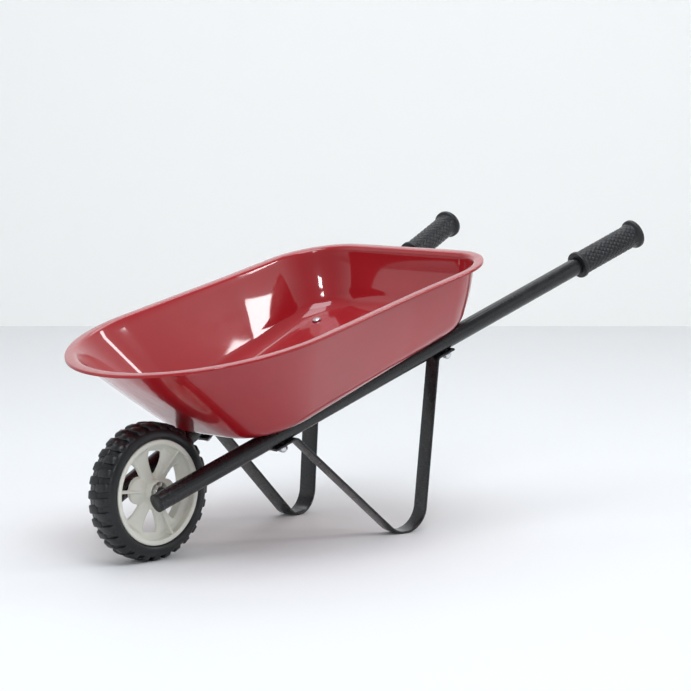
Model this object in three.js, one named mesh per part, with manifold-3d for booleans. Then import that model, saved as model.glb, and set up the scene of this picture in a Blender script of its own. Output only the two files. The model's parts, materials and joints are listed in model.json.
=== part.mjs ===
// A small single-wheel barrow: a pressed steel tray on two straight tubes, two bent strap legs
// and one spoked wheel on a rod between the tubes.
// Millimetres, +Z up. +X runs from the wheel to the grips, -Y is the left side of a person who
// holds the grips. The origin is on the ground, at the middle of the whole length.
import * as THREE from 'three';
import { mergeVertices } from 'three/addons/utils/BufferGeometryUtils.js';
import Module from 'manifold-3d';

const wasm = await Module();
wasm.setup();

// ---------- driving dimensions ----------
const GAP = 0.3; // clearance between touching pieces
const AXLE_X = -315.7; // axle, from the middle of the length
const WHEEL_RADIUS = 80.6; // over the tyre, and the height of the axle

const TUBE_RADIUS = 11;
const TUBE_WALL = 1.5;
const TUBE_RISE = 0.3907; // height gained for each millimetre of X
const TUBE_SPLAY = 0.174; // sideways spread of each tube for each millimetre of X
const TUBE_SPACING_AT_AXLE = 40.12; // from the middle plane to each tube's axis
const TUBE_FRONT = -19; // X of the front end, from the axle
const TUBE_BACK = 701.3; // X of the back end, inside the grip

const PLUG_FLANGE = 2.2;
const PLUG_LENGTH = 10;

const GRIP_FRONT = 606.3; // X where the grip starts
const GRIP_BACK = 705.3; // X of the grip's end face
const GRIP_RADIUS = 15.5;
const GRIP_COLLAR_RADIUS = 17.5;
const GRIP_FLANGE_RADIUS = 19;

const RIM_HEIGHT = 239.53; // height of the tray's rim above the axle line
const RIM_RISE = 0.232;
const RIM_FRONT = -70.45;
const RIM_BACK = 446;
const RIM_BEND = 278.8; // X where the sides turn slightly inwards
const RIM_HALF_FRONT = 185.8;
const RIM_HALF_BACK = 171.1;
const RIM_CORNER_FRONT = 177;
const RIM_CORNER_BACK = 83.7;
const RIM_FLANGE = 12.5;
const RIM_LIP = 2.4; // turned-down edge of the rim

const FLOOR_FRONT = 98.3;
const FLOOR_BACK = 429.3;
const FLOOR_HALF_FRONT = 101.3;
const FLOOR_HALF_BACK = 136.5;
const FLOOR_CORNER_FRONT = 70;
const FLOOR_CORNER_BACK = 50;
const FLOOR_FILLET = 22; // length of the bend, each way from the sharp corner
const RIM_FILLET = 4;
const SHEET = 1.4;

const LEG_WIDTH = 23.6;
const LEG_THICKNESS = 3;
const LEG_TAB_FRONT = 137.8; // X of the front tab's free end
const LEG_KNEE_FRONT = 168; // X where the front tab turns down
const LEG_KNEE_BACK = 376.8; // X where the back tab turns down
const LEG_TAB_BACK = 401.3; // X of the back tab's free end
const LEG_FOOT_X = 328.8; // middle of the foot's round bend
const LEG_FOOT_RADIUS = 31.4; // to the middle of the strap
const LEG_FOOT_FLAT = THREE.MathUtils.degToRad(7); // half the angle that is flat on the ground
const LEG_KNEE_RADIUS = 5.5;
const LEG_INSET = 1.6; // how far a strap's middle line lies inside its tube's
const LEG_LEAN = 0.012; // inward lean for each millimetre below the tube

const BOLT_X = [146.9, 390.6]; // where the bolts cross the tubes' axes
const BOLT_RADIUS = 3;
const BOLT_CLEARANCE = 0.4;
const BOLT_HEAD_RADIUS = 6;
const BOLT_HEAD_HEIGHT = 3.2;
const WASHER_RADIUS = 6.2;
const WASHER_THICKNESS = 1.2;
const NUT_ACROSS_FLATS = 10;
const NUT_HEIGHT = 5;
const BOLT_TIP = 2; // thread showing below the nut

const AXLE_RADIUS = 4;
const AXLE_HALF = 41;
// Rings on the axle: from, to (distances from the middle plane) and radius.
const AXLE_WASHER = [20.3, 21.6, 8];
const AXLE_SPACER = [21.9, 26.8, 6.5];
const AXLE_CLIP = [34.2, 35.6, 5.8];
const RIM_EDGE_RADIUS = 61.8; // plastic rim's outer edge
const RIM_HALF_WIDTH = 18.4;
const HUB_RADIUS = 14.5;
const PADDLE_HALF = 15; // half width of a wide spoke, which stops short of the rim
const PADDLE_REACH = 20; // to the middle of its round end
const SPOKE_HALF = 8.3; // half width of a spoke that reaches the rim
const WEB_INNER = 47.5; // inner edge of the flat ring that joins the spokes to the rim
const WEB_TOP = 4.4;
const RIDGE_HALF = 1.65; // half width of a wide spoke's flat ridge
const SPOKE_RIDGE = [5, 8.6]; // half width and height of the ridge on a spoke that reaches the rim
const HUB_WEB = 21; // radius of the disc that joins the spokes at the hub
const RIDGE_TOP = 13.4; // height of the ridge and of a spoke's edge over the wheel's middle plane
const SPOKE_EDGE = 7;
const RIM_SPAN = 56.8; // reach of the spokes, into the rim
const HUB_HALF = 20;
const BUSH_RADIUS = 6.4;
const BUSH_LENGTH = 14;
const SPOKES = 6;
const SPOKE_TURN = THREE.MathUtils.degToRad(54);
const TYRE_TREAD_HALF = 12.2;
const TYRE_HALF = 19.4;
const ROUND = 24; // sides of small round pieces
const WHEEL_SIDES = 48;

// ---------- materials ----------
const finish = (color, roughness, metalness) => () =>
  new THREE.MeshStandardMaterial({ color, roughness, metalness });
const redPaint = finish(0xa61c26, 0.16, 0.1);
const blackPaint = finish(0x17181a, 0.42, 0.2);
const gripRubber = finish(0x131416, 0.75, 0);
const tyreRubber = finish(0x161718, 0.8, 0);
const plugPlastic = finish(0x1b1c1e, 0.6, 0);
const rimPlastic = finish(0xcfcfc0, 0.45, 0);
const bushPlastic = finish(0x2a2b2c, 0.5, 0);
const zinc = finish(0xc4c6c8, 0.3, 0.95);

// ---------- solids ----------
const group = new THREE.Group();

function addMesh(name, geometry, material) {
  const mesh = new THREE.Mesh(geometry, material());
  mesh.name = name;
  group.add(mesh);
  return mesh;
}

function toSolid(geometry) {
  const bare = geometry.clone();
  bare.deleteAttribute('normal');
  bare.deleteAttribute('uv');
  const merged = mergeVertices(bare, 1e-4);
  const vertProperties = new Float32Array(merged.attributes.position.array);
  const triVerts = new Uint32Array(merged.index.array);
  return new wasm.Manifold(new wasm.Mesh({ numProp: 3, vertProperties, triVerts }));
}

function toGeometry(solid) {
  const { vertProperties, triVerts } = solid.getMesh();
  const geometry = new THREE.BufferGeometry();
  geometry.setAttribute('position', new THREE.BufferAttribute(new Float32Array(vertProperties), 3));
  geometry.setIndex(new THREE.BufferAttribute(new Uint32Array(triVerts), 1));
  return geometry;
}

// A closed lathe about +Z from [radius, height] pairs.
function lathe(profile, sides = ROUND) {
  const points = profile.map(([radius, height]) => new THREE.Vector2(radius, height));
  return new THREE.LatheGeometry(points, sides).rotateX(Math.PI / 2);
}

// A ring about +Z with a square section.
function ring(inner, outer, low, high, sides = ROUND) {
  return lathe([[inner, low], [outer, low], [outer, high], [inner, high], [inner, low]], sides);
}

function rod(radius, low, high, sides = ROUND) {
  return lathe([[0, low], [radius, low], [radius, high], [0, high]], sides);
}

// ---------- frames of reference ----------
// side is -1 on the left and +1 on the right.
const SIDES = [['left', -1], ['right', 1]];

// A point on a tube's axis at a given X from the axle.
function tubePoint(side, x) {
  const y = side * (TUBE_SPACING_AT_AXLE + TUBE_SPLAY * x);
  return new THREE.Vector3(AXLE_X + x, y, WHEEL_RADIUS + TUBE_RISE * x);
}

const tubeDirection = (side) => new THREE.Vector3(1, side * TUBE_SPLAY, TUBE_RISE).normalize();
const floorNormal = new THREE.Vector3(-TUBE_RISE, 0, 1).normalize();
const alongTube = (fromX, toX) => (toX - fromX) * Math.hypot(1, TUBE_SPLAY, TUBE_RISE);

// Places a piece drawn along +Z so that +Z points along direction from origin.
function place(geometry, origin, direction) {
  const turn = new THREE.Quaternion().setFromUnitVectors(new THREE.Vector3(0, 0, 1), direction);
  return geometry.applyQuaternion(turn).translate(origin.x, origin.y, origin.z);
}

// Places a piece drawn about +Z on the axle, with its +Z end to the left and its +Y side up.
const alongAxle = (geometry) => geometry.rotateX(Math.PI / 2).translate(AXLE_X, 0, WHEEL_RADIUS);

// A tray bolt leans halfway between square to the tray's floor and square to the tube.
function boltDirection(side) {
  const tube = tubeDirection(side);
  const squareToTube = new THREE.Vector3(0, 0, 1).addScaledVector(tube, -tube.z).normalize();
  return squareToTube.add(floorNormal).normalize();
}

function boltHole(side, x) {
  const reach = 2 * TUBE_RADIUS;
  const hole = rod(BOLT_RADIUS + BOLT_CLEARANCE, -reach, reach, 16);
  return toSolid(place(hole, tubePoint(side, x), boltDirection(side)));
}

// ---------- handle tubes ----------
function handleTube(side) {
  const length = alongTube(TUBE_FRONT, TUBE_BACK);
  const start = tubePoint(side, TUBE_FRONT);
  const bore = TUBE_RADIUS - TUBE_WALL;
  let tube = toSolid(place(ring(bore, TUBE_RADIUS, 0, length), start, tubeDirection(side)));
  for (const x of BOLT_X) tube = tube.subtract(boltHole(side, x));
  const inward = tubePoint(side, 0);
  const hole = rod(AXLE_RADIUS + GAP, 0, TUBE_RADIUS * 1.5, 24).rotateX(side * Math.PI / 2);
  return toGeometry(tube.subtract(toSolid(hole.translate(inward.x, inward.y, inward.z))));
}

function frontPlug(side) {
  const shank = TUBE_RADIUS - TUBE_WALL - GAP;
  const profile = [
    [0, -PLUG_FLANGE - GAP], [TUBE_RADIUS - 1, -PLUG_FLANGE - GAP], [TUBE_RADIUS, 1 - PLUG_FLANGE - GAP],
    [TUBE_RADIUS, -GAP], [shank, -GAP], [shank, PLUG_LENGTH], [0, PLUG_LENGTH],
  ];
  return place(lathe(profile), tubePoint(side, TUBE_FRONT), tubeDirection(side));
}

function grip(side) {
  const length = alongTube(GRIP_FRONT, GRIP_BACK);
  const depth = alongTube(GRIP_FRONT, TUBE_BACK) + GAP;
  const bore = TUBE_RADIUS + GAP;
  const collar = 7;
  const flange = 9;
  const profile = [
    [bore, 0], [GRIP_COLLAR_RADIUS - 1.5, 0], [GRIP_COLLAR_RADIUS, 1.5], [GRIP_COLLAR_RADIUS, collar - 2],
    [GRIP_RADIUS, collar], [GRIP_RADIUS, length - flange], [GRIP_FLANGE_RADIUS, length - flange + 3],
    [GRIP_FLANGE_RADIUS, length - 2], [GRIP_FLANGE_RADIUS - 2, length], [0, length], [0, depth], [bore, depth],
    [bore, 0],
  ];
  return place(lathe(profile), tubePoint(side, GRIP_FRONT), tubeDirection(side));
}

// ---------- tray ----------
// One side of a symmetric plan outline, from the front middle round to the back middle:
// the corner points, each with a rounding radius, become arcs with a fixed count of points.
function halfOutline(corners, counts) {
  const points = [corners[0].point];
  for (let i = 1; i < corners.length - 1; i++) {
    const [before, at, after] = [corners[i - 1].point, corners[i].point, corners[i + 1].point];
    points.push(...roundCorner(before, at, after, corners[i].radius, counts[i - 1]));
  }
  points.push(corners.at(-1).point);
  return points;
}

// The whole outline, counter-clockwise from above, starting at the front middle.
function outline(corners, counts) {
  const right = halfOutline(corners, counts).map((p) => new THREE.Vector2(p.x, -p.y));
  const left = right.slice(1, -1).reverse().map((p) => new THREE.Vector2(p.x, -p.y));
  return [...right, ...left];
}

const corner = (x, y, radius = 0) => ({ point: new THREE.Vector2(x, y), radius });
const OUTLINE_COUNTS = [14, 3, 8];

function rimOutline(inset) {
  const front = RIM_FRONT + inset;
  const back = RIM_BACK - inset;
  const atBack = RIM_HALF_BACK - inset;
  return outline([
    corner(front, 0), corner(front, RIM_HALF_FRONT - inset, RIM_CORNER_FRONT - inset),
    corner(RIM_BEND, atBack, 671), corner(back, atBack, RIM_CORNER_BACK - inset), corner(back, 0),
  ], OUTLINE_COUNTS);
}

function floorOutline() {
  const bend = THREE.MathUtils.lerp(FLOOR_FRONT, FLOOR_BACK, 0.6);
  const atBend = THREE.MathUtils.lerp(FLOOR_HALF_FRONT, FLOOR_HALF_BACK, 0.62);
  return outline([
    corner(FLOOR_FRONT, 0), corner(FLOOR_FRONT, FLOOR_HALF_FRONT, FLOOR_CORNER_FRONT),
    corner(bend, atBend, 600), corner(FLOOR_BACK, FLOOR_HALF_BACK, FLOOR_CORNER_BACK), corner(FLOOR_BACK, 0),
  ], OUTLINE_COUNTS);
}

const FLOOR_HEIGHT = WHEEL_RADIUS + TUBE_RADIUS / floorNormal.z + GAP + SHEET;
const floorPoint = (p) => new THREE.Vector3(p.x, p.y, FLOOR_HEIGHT + TUBE_RISE * p.x);
const rimPoint = (p) => new THREE.Vector3(p.x, p.y, RIM_HEIGHT + RIM_RISE * p.x);

// Points of a bend that leaves a corner by reach both ways, as a quadratic curve.
function bend(before, at, after, reach, steps) {
  const start = at.clone().add(before.clone().sub(at).setLength(reach));
  const end = at.clone().add(after.clone().sub(at).setLength(reach));
  return new THREE.QuadraticBezierCurve3(start, at, end).getPoints(steps);
}

// The sheet's upper surface from the floor to the rim's turned-down edge, at one place.
function traySection(floorAt, inwards, mouthAt, edgeAt) {
  const floor = floorPoint(floorAt);
  const mouth = rimPoint(mouthAt);
  const edge = rimPoint(edgeAt);
  const inside = floorPoint(floorAt.clone().add(inwards));
  const lip = edge.clone().add(new THREE.Vector3(0, 0, -RIM_LIP));
  return [
    ...bend(inside, floor, mouth, FLOOR_FILLET, 4),
    ...bend(floor, mouth, edge, RIM_FILLET, 2),
    ...bend(mouth, edge, lip, RIM_LIP / 2, 1),
    lip,
  ];
}

function trayShell() {
  const floorLine = floorOutline();
  const mouthLine = rimOutline(RIM_FLANGE);
  const edgeLine = rimOutline(0);
  const loops = floorLine.length;
  const sections = floorLine.map((p, i) => {
    const along = floorLine[(i + 1) % loops].clone().sub(floorLine[(i + loops - 1) % loops]).normalize();
    return traySection(p, new THREE.Vector2(-along.y, along.x), mouthLine[i], edgeLine[i]);
  });
  const rows = sections[0].length;
  const middle = floorPoint(new THREE.Vector2((FLOOR_FRONT + FLOOR_BACK) / 2, 0));
  const points = [...sections.flat(), middle];
  const id = (i, k) => (i % loops) * rows + k;
  const upper = [];
  for (let i = 0; i < loops; i++) {
    upper.push(points.length - 1, id(i, 0), id(i + 1, 0));
    for (let k = 0; k < rows - 1; k++) {
      upper.push(id(i, k), id(i, k + 1), id(i + 1, k + 1), id(i, k), id(i + 1, k + 1), id(i + 1, k));
    }
  }
  const sheet = new THREE.BufferGeometry().setFromPoints(points).setIndex(upper);
  sheet.computeVertexNormals();
  const normal = (n) => new THREE.Vector3().fromBufferAttribute(sheet.attributes.normal, n);
  const under = points.map((point, n) => point.clone().addScaledVector(normal(n), -SHEET));
  const count = points.length;
  const indices = [...upper];
  for (let n = 0; n < upper.length; n += 3) {
    indices.push(upper[n] + count, upper[n + 2] + count, upper[n + 1] + count);
  }
  for (let i = 0; i < loops; i++) {
    const [a, b] = [id(i, rows - 1), id(i + 1, rows - 1)];
    indices.push(a, a + count, b + count, a, b + count, b);
  }
  return new THREE.BufferGeometry().setFromPoints([...points, ...under]).setIndex(indices)
    .translate(AXLE_X, 0, 0);
}

function tray() {
  let solid = toSolid(trayShell());
  for (const [, side] of SIDES) {
    for (const x of BOLT_X) solid = solid.subtract(boltHole(side, x));
  }
  return toGeometry(solid);
}

// ---------- legs ----------
// Points of an arc about a centre.
function arc(centre, radius, from, to, steps) {
  const points = [];
  for (let k = 0; k <= steps; k++) {
    const angle = from + (to - from) * k / steps;
    points.push(new THREE.Vector2(radius * Math.cos(angle), radius * Math.sin(angle)).add(centre));
  }
  return points;
}

// Points of the arc that rounds the corner at a point.
function roundCorner(before, at, after, radius, steps) {
  const back = before.clone().sub(at).normalize();
  const ahead = after.clone().sub(at).normalize();
  const half = back.angleTo(ahead) / 2;
  const middle = back.clone().add(ahead).normalize();
  const centre = at.clone().addScaledVector(middle, radius / Math.sin(half));
  const start = at.clone().addScaledVector(back, radius / Math.tan(half)).sub(centre);
  const end = at.clone().addScaledVector(ahead, radius / Math.tan(half)).sub(centre);
  const sweep = start.angleTo(end) * Math.sign(start.cross(end));
  return arc(centre, radius, start.angle(), start.angle() + sweep, steps);
}

// The strap's path in the upright plane of its tube: X from the axle against height.
function legPath() {
  const under = WHEEL_RADIUS - (TUBE_RADIUS + GAP + LEG_THICKNESS / 2) / floorNormal.z;
  const tab = (x) => new THREE.Vector2(x, under + TUBE_RISE * x);
  const lift = LEG_THICKNESS / 2 + LEG_FOOT_RADIUS * Math.cos(LEG_FOOT_FLAT);
  const centre = new THREE.Vector2(LEG_FOOT_X, lift);
  const kneeFront = tab(LEG_KNEE_FRONT);
  const kneeBack = tab(LEG_KNEE_BACK);
  const toFront = kneeFront.clone().sub(centre);
  const toBack = kneeBack.clone().sub(centre);
  const start = toFront.angle() + Math.acos(LEG_FOOT_RADIUS / toFront.length());
  const end = toBack.angle() + 2 * Math.PI - Math.acos(LEG_FOOT_RADIUS / toBack.length());
  const down = 1.5 * Math.PI;
  const foot = [
    ...arc(centre, LEG_FOOT_RADIUS, start, down - LEG_FOOT_FLAT, 3),
    ...arc(centre, LEG_FOOT_RADIUS, down + LEG_FOOT_FLAT, end, 6),
  ];
  return [
    tab(LEG_TAB_FRONT),
    ...roundCorner(tab(LEG_TAB_FRONT), kneeFront, foot[0], LEG_KNEE_RADIUS, 3),
    ...foot,
    ...roundCorner(foot.at(-1), kneeBack, tab(LEG_TAB_BACK), LEG_KNEE_RADIUS, 3),
    tab(LEG_TAB_BACK),
  ];
}

// Both faces of a strap that follows a flat path.
function strapOutline(path, thickness) {
  const side = (sign) => path.map((point, i) => {
    const before = path[Math.max(i - 1, 0)];
    const after = path[Math.min(i + 1, path.length - 1)];
    const first = point.clone().sub(before).normalize();
    const second = after.clone().sub(point).normalize();
    const along = first.add(second).normalize();
    const cut = Math.cos(i > 0 && i < path.length - 1
      ? 0.5 * point.clone().sub(before).angleTo(after.clone().sub(point)) : 0);
    const normal = new THREE.Vector2(-along.y, along.x);
    return point.clone().addScaledVector(normal, sign * thickness / 2 / cut);
  });
  return [...side(1), ...side(-1).reverse()];
}

function leg(side) {
  const stretch = Math.hypot(1, TUBE_SPLAY);
  const path = legPath().map((p) => new THREE.Vector2(p.x * stretch, p.y));
  const shape = new THREE.Shape(strapOutline(path, LEG_THICKNESS));
  const strap = new THREE.ExtrudeGeometry(shape, { depth: LEG_WIDTH, bevelEnabled: false });
  strap.translate(0, 0, -LEG_WIDTH / 2).rotateX(Math.PI / 2);
  strap.rotateZ(side * Math.atan(TUBE_SPLAY));
  strap.applyMatrix4(new THREE.Matrix4().makeShear(-side * LEG_LEAN * TUBE_RISE, 0, 0, 0, 0, side * LEG_LEAN));
  const middle = TUBE_SPACING_AT_AXLE - LEG_INSET - LEG_LEAN * WHEEL_RADIUS;
  strap.translate(AXLE_X, side * middle, 0);
  let solid = toSolid(strap);
  for (const x of BOLT_X) solid = solid.subtract(boltHole(side, x));
  return toGeometry(solid);
}

// ---------- fasteners ----------
// Heights along a tray bolt, from the tube's axis.
const HEAD_SEAT = TUBE_RADIUS + GAP + SHEET + 2 * GAP;
const WASHER_TOP = -(TUBE_RADIUS + GAP + LEG_THICKNESS + GAP);
const NUT_TOP = WASHER_TOP - WASHER_THICKNESS - GAP;

function trayBolt(side, x) {
  const tip = NUT_TOP - NUT_HEIGHT - BOLT_TIP;
  const profile = [[0, tip], [BOLT_RADIUS - 0.6, tip], [BOLT_RADIUS, tip + 0.8], [BOLT_RADIUS, HEAD_SEAT],
    [BOLT_HEAD_RADIUS, HEAD_SEAT], [BOLT_HEAD_RADIUS, HEAD_SEAT + 0.6]];
  const steps = 4;
  for (let i = 1; i <= steps; i++) {
    const angle = i / steps * Math.PI / 2;
    profile.push([BOLT_HEAD_RADIUS * Math.cos(angle), HEAD_SEAT + 0.6 + (BOLT_HEAD_HEIGHT - 0.6) * Math.sin(angle)]);
  }
  profile.at(-1)[0] = 0;
  return place(lathe(profile, 20), tubePoint(side, x), boltDirection(side));
}

function trayWasher(side, x) {
  const washer = ring(BOLT_RADIUS + GAP, WASHER_RADIUS, WASHER_TOP - WASHER_THICKNESS, WASHER_TOP, 20);
  return place(washer, tubePoint(side, x), boltDirection(side));
}

function hexNut(side, x) {
  const corners = NUT_ACROSS_FLATS / 2 / Math.cos(Math.PI / 6);
  const hex = new THREE.Shape();
  for (let i = 0; i < 6; i++) {
    const angle = i / 6 * 2 * Math.PI;
    hex[i ? 'lineTo' : 'moveTo'](corners * Math.cos(angle), corners * Math.sin(angle));
  }
  hex.holes.push(new THREE.Path().absarc(0, 0, BOLT_RADIUS + GAP, 0, 2 * Math.PI, true));
  const nut = new THREE.ExtrudeGeometry(hex, { depth: NUT_HEIGHT, bevelEnabled: false, curveSegments: 10 });
  return place(nut.translate(0, 0, NUT_TOP - NUT_HEIGHT), tubePoint(side, x), boltDirection(side));
}

// ---------- wheel ----------
// A closed profile from its upper half, which runs from the inner middle over to the outer middle.
function mirrored(half) {
  const sides = half.slice(1, -1);
  return [half[0], ...sides.map(([radius, height]) => [radius, -height]), half.at(-1),
    ...sides.reverse(), half[0]];
}

function tyre() {
  const seat = RIM_EDGE_RADIUS - 2.4;
  const half = [
    [seat, 0], [seat, RIM_HALF_WIDTH - 4], [RIM_EDGE_RADIUS + GAP, RIM_HALF_WIDTH - 3],
    [RIM_EDGE_RADIUS + GAP, TYRE_HALF - 1], [64, TYRE_HALF], [70, TYRE_HALF - 0.6], [75.5, TYRE_HALF - 3],
    [79, TYRE_TREAD_HALF + 1.5], [WHEEL_RADIUS, TYRE_TREAD_HALF - 2], [WHEEL_RADIUS, 0],
  ];
  return alongAxle(lathe(mirrored(half), WHEEL_SIDES));
}

function rimBarrel() {
  const half = [
    [54.4, 0], [55.4, 12], [56.4, 15.6], [57.4, 15.6], [59.3, RIM_HALF_WIDTH],
    [RIM_EDGE_RADIUS, RIM_HALF_WIDTH], [RIM_EDGE_RADIUS, RIM_HALF_WIDTH - 2.6],
    [RIM_EDGE_RADIUS - 2.7, RIM_HALF_WIDTH - 3.6], [RIM_EDGE_RADIUS - 2.7, 0],
  ];
  return toSolid(lathe(mirrored(half), WHEEL_SIDES));
}

// A roof-shaped spoke on the left face, its ridge along +X.
function spoke(half, reach, ridgeHalf, ridgeTop) {
  const section = new THREE.Shape([
    [-ridgeHalf, ridgeTop], [-half, SPOKE_EDGE], [-half, 0], [half, 0], [half, SPOKE_EDGE],
    [ridgeHalf, ridgeTop],
  ].map(([across, up]) => new THREE.Vector2(across, up)));
  const bar = new THREE.ExtrudeGeometry(section, { depth: reach, bevelEnabled: false });
  return toSolid(bar.rotateX(Math.PI / 2).rotateZ(Math.PI / 2));
}

// A wide spoke with a round end, and the fin that carries its ridge to the rim.
function paddle() {
  const end = lathe([[0, 0], [PADDLE_HALF, 0], [PADDLE_HALF, SPOKE_EDGE], [RIDGE_HALF, RIDGE_TOP], [0, RIDGE_TOP]]);
  const fin = new THREE.BoxGeometry(RIM_SPAN, 2 * RIDGE_HALF, RIDGE_TOP);
  return spoke(PADDLE_HALF, PADDLE_REACH, RIDGE_HALF, RIDGE_TOP)
    .add(toSolid(end.translate(PADDLE_REACH, 0, 0)))
    .add(toSolid(fin.translate(RIM_SPAN / 2, 0, RIDGE_TOP / 2)));
}

function wheelRim() {
  let solid = rimBarrel();
  for (let i = 0; i < SPOKES; i++) {
    const turned = i % 3 === 2 ? paddle() : spoke(SPOKE_HALF, RIM_SPAN, ...SPOKE_RIDGE);
    solid = solid.add(turned.rotate([0, 0, THREE.MathUtils.radToDeg(SPOKE_TURN) + i / SPOKES * 360]));
  }
  solid = solid.add(toSolid(ring(WEB_INNER, RIM_SPAN, 0, WEB_TOP, WHEEL_SIDES)));
  const cone = [[0, 0], [HUB_WEB, 0], [HUB_WEB, 5], [HUB_RADIUS, 9], [HUB_RADIUS, HUB_HALF], [0, HUB_HALF]];
  solid = solid.add(toSolid(lathe(cone, WHEEL_SIDES)));
  solid = solid.add(toSolid(rod(HUB_RADIUS, -HUB_HALF, 1, WHEEL_SIDES)));
  const bushSeat = BUSH_RADIUS + GAP;
  solid = solid.subtract(toSolid(rod(bushSeat, -HUB_HALF - 1, HUB_HALF + 1, WHEEL_SIDES)));
  return alongAxle(toGeometry(solid));
}

// A ring on the axle between two distances from the middle plane.
function axleRing(side, near, far, radius) {
  const low = side < 0 ? near : -far;
  return alongAxle(ring(AXLE_RADIUS + GAP, radius, low, low + far - near, 24));
}

// ---------- assembly ----------
addMesh('tray', tray(), redPaint);
for (const [hand, side] of SIDES) {
  addMesh(`handle_tube_${hand}`, handleTube(side), blackPaint);
  addMesh(`tube_plug_${hand}`, frontPlug(side), plugPlastic);
  addMesh(`grip_${hand}`, grip(side), gripRubber);
  addMesh(`leg_${hand}`, leg(side), blackPaint);
  for (const [row, x] of [['front', BOLT_X[0]], ['back', BOLT_X[1]]]) {
    addMesh(`tray_bolt_${hand}_${row}`, trayBolt(side, x), zinc);
    addMesh(`bolt_washer_${hand}_${row}`, trayWasher(side, x), zinc);
    addMesh(`bolt_nut_${hand}_${row}`, hexNut(side, x), zinc);
  }
  addMesh(`hub_bush_${hand}`, axleRing(side, HUB_HALF - BUSH_LENGTH, HUB_HALF, BUSH_RADIUS), bushPlastic);
  addMesh(`axle_washer_${hand}`, axleRing(side, ...AXLE_WASHER), zinc);
  addMesh(`axle_spacer_${hand}`, axleRing(side, ...AXLE_SPACER), bushPlastic);
  addMesh(`axle_clip_${hand}`, axleRing(side, ...AXLE_CLIP), zinc);
}
addMesh('axle_rod', alongAxle(rod(AXLE_RADIUS, -AXLE_HALF, AXLE_HALF)), zinc);
addMesh('wheel_rim', wheelRim(), rimPlastic);
addMesh('tyre', tyre(), tyreRubber);

export default group;
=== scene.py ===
"""Visual model of a small single-wheel barrow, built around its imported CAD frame.

Metres, +Z up, in the CAD frame. X runs from the wheel to the grips and -Y is the left side.
"""

import json
import math

import bmesh
import bpy
import numpy as np
from mathutils import Matrix, Vector

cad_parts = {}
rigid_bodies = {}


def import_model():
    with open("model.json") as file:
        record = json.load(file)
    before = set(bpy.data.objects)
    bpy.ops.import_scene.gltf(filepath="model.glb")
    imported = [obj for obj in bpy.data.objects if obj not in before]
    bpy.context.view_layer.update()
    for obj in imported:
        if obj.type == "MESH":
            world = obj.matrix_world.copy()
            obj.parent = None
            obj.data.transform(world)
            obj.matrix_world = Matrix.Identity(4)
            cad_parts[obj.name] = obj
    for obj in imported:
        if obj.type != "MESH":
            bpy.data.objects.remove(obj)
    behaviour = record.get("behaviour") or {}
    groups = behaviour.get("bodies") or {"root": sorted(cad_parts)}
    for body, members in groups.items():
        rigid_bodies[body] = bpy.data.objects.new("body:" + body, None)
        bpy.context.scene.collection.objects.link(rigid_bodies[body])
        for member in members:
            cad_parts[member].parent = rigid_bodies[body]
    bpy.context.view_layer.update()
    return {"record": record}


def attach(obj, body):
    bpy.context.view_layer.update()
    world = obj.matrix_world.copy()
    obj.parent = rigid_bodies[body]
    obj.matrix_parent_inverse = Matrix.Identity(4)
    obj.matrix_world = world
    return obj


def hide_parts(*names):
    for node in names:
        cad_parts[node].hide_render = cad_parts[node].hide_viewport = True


bl_info = {
    "name": "Small Wheelbarrow",
    "version": (1, 0, 0),
    "blender": (4, 5, 0),
    "location": "View3D > Sidebar > Barrow",
    "description": "Builds a small wheelbarrow with a pressed tray and a spoked wheel",
    "category": "Object",
}

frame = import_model()
MM = 0.001
FRAME_BODY = "frame"
WHEEL_BODY = "wheel"
SIDES = (("left", -1), ("right", 1))
ROWS = ("front", "back")
AXLE = Vector(frame["record"]["behaviour"]["joints"][0]["pos_m"])

# Lines that several pieces share, in millimetres from the axle.
TUBE_RISE = 0.3907
TUBE_SPLAY = 0.174
TUBE_SPACING = 40.12
TUBE_RADIUS = 11.0
TUBE_FRONT = -19.0
TUBE_BACK = 701.3
GAP = 0.3
SHEET = 1.4
MERGE_DISTANCE = 0.002 * MM
BOLT_X = (146.9, 390.6)
FLOOR_NORMAL = Vector((-TUBE_RISE, 0, 1)).normalized()


# ---------------------------------------------------------------- properties
class TrayProperties(bpy.types.PropertyGroup):
    paint: bpy.props.FloatVectorProperty(
        name="Paint", description="Colour of the tray's paint", subtype="COLOR",
        default=(0.36, 0.007, 0.013), min=0, max=1)
    gloss: bpy.props.FloatProperty(
        name="Roughness", description="Roughness of the paint under its clear coat",
        default=0.28, min=0, max=1, subtype="FACTOR")
    flange: bpy.props.FloatProperty(
        name="Rim width", description="Width of the turned-out rim", default=12.5 * MM,
        min=0.005, max=0.02, unit="LENGTH")
    fillet: bpy.props.FloatProperty(
        name="Floor bend", description="Reach of the bend between the floor and the walls",
        default=22 * MM, min=0.005, max=0.04, unit="LENGTH")


class TubeProperties(bpy.types.PropertyGroup):
    paint: bpy.props.FloatVectorProperty(
        name="Paint", description="Colour of the powder coat on tubes and legs", subtype="COLOR",
        default=(0.005, 0.0054, 0.0066), min=0, max=1)
    roughness: bpy.props.FloatProperty(
        name="Roughness", description="Roughness of the powder coat", default=0.24, min=0, max=1,
        subtype="FACTOR")


class GripProperties(bpy.types.PropertyGroup):
    around: bpy.props.IntProperty(
        name="Pads around", description="Raised pads in one ring of the pattern", default=12,
        min=6, max=40)
    rings: bpy.props.IntProperty(
        name="Rings", description="Rings of pads along the grip", default=19, min=4, max=60)
    rubber: bpy.props.FloatVectorProperty(
        name="Rubber", description="Colour of the grips", subtype="COLOR",
        default=(0.006, 0.0064, 0.0076), min=0, max=1)


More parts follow.
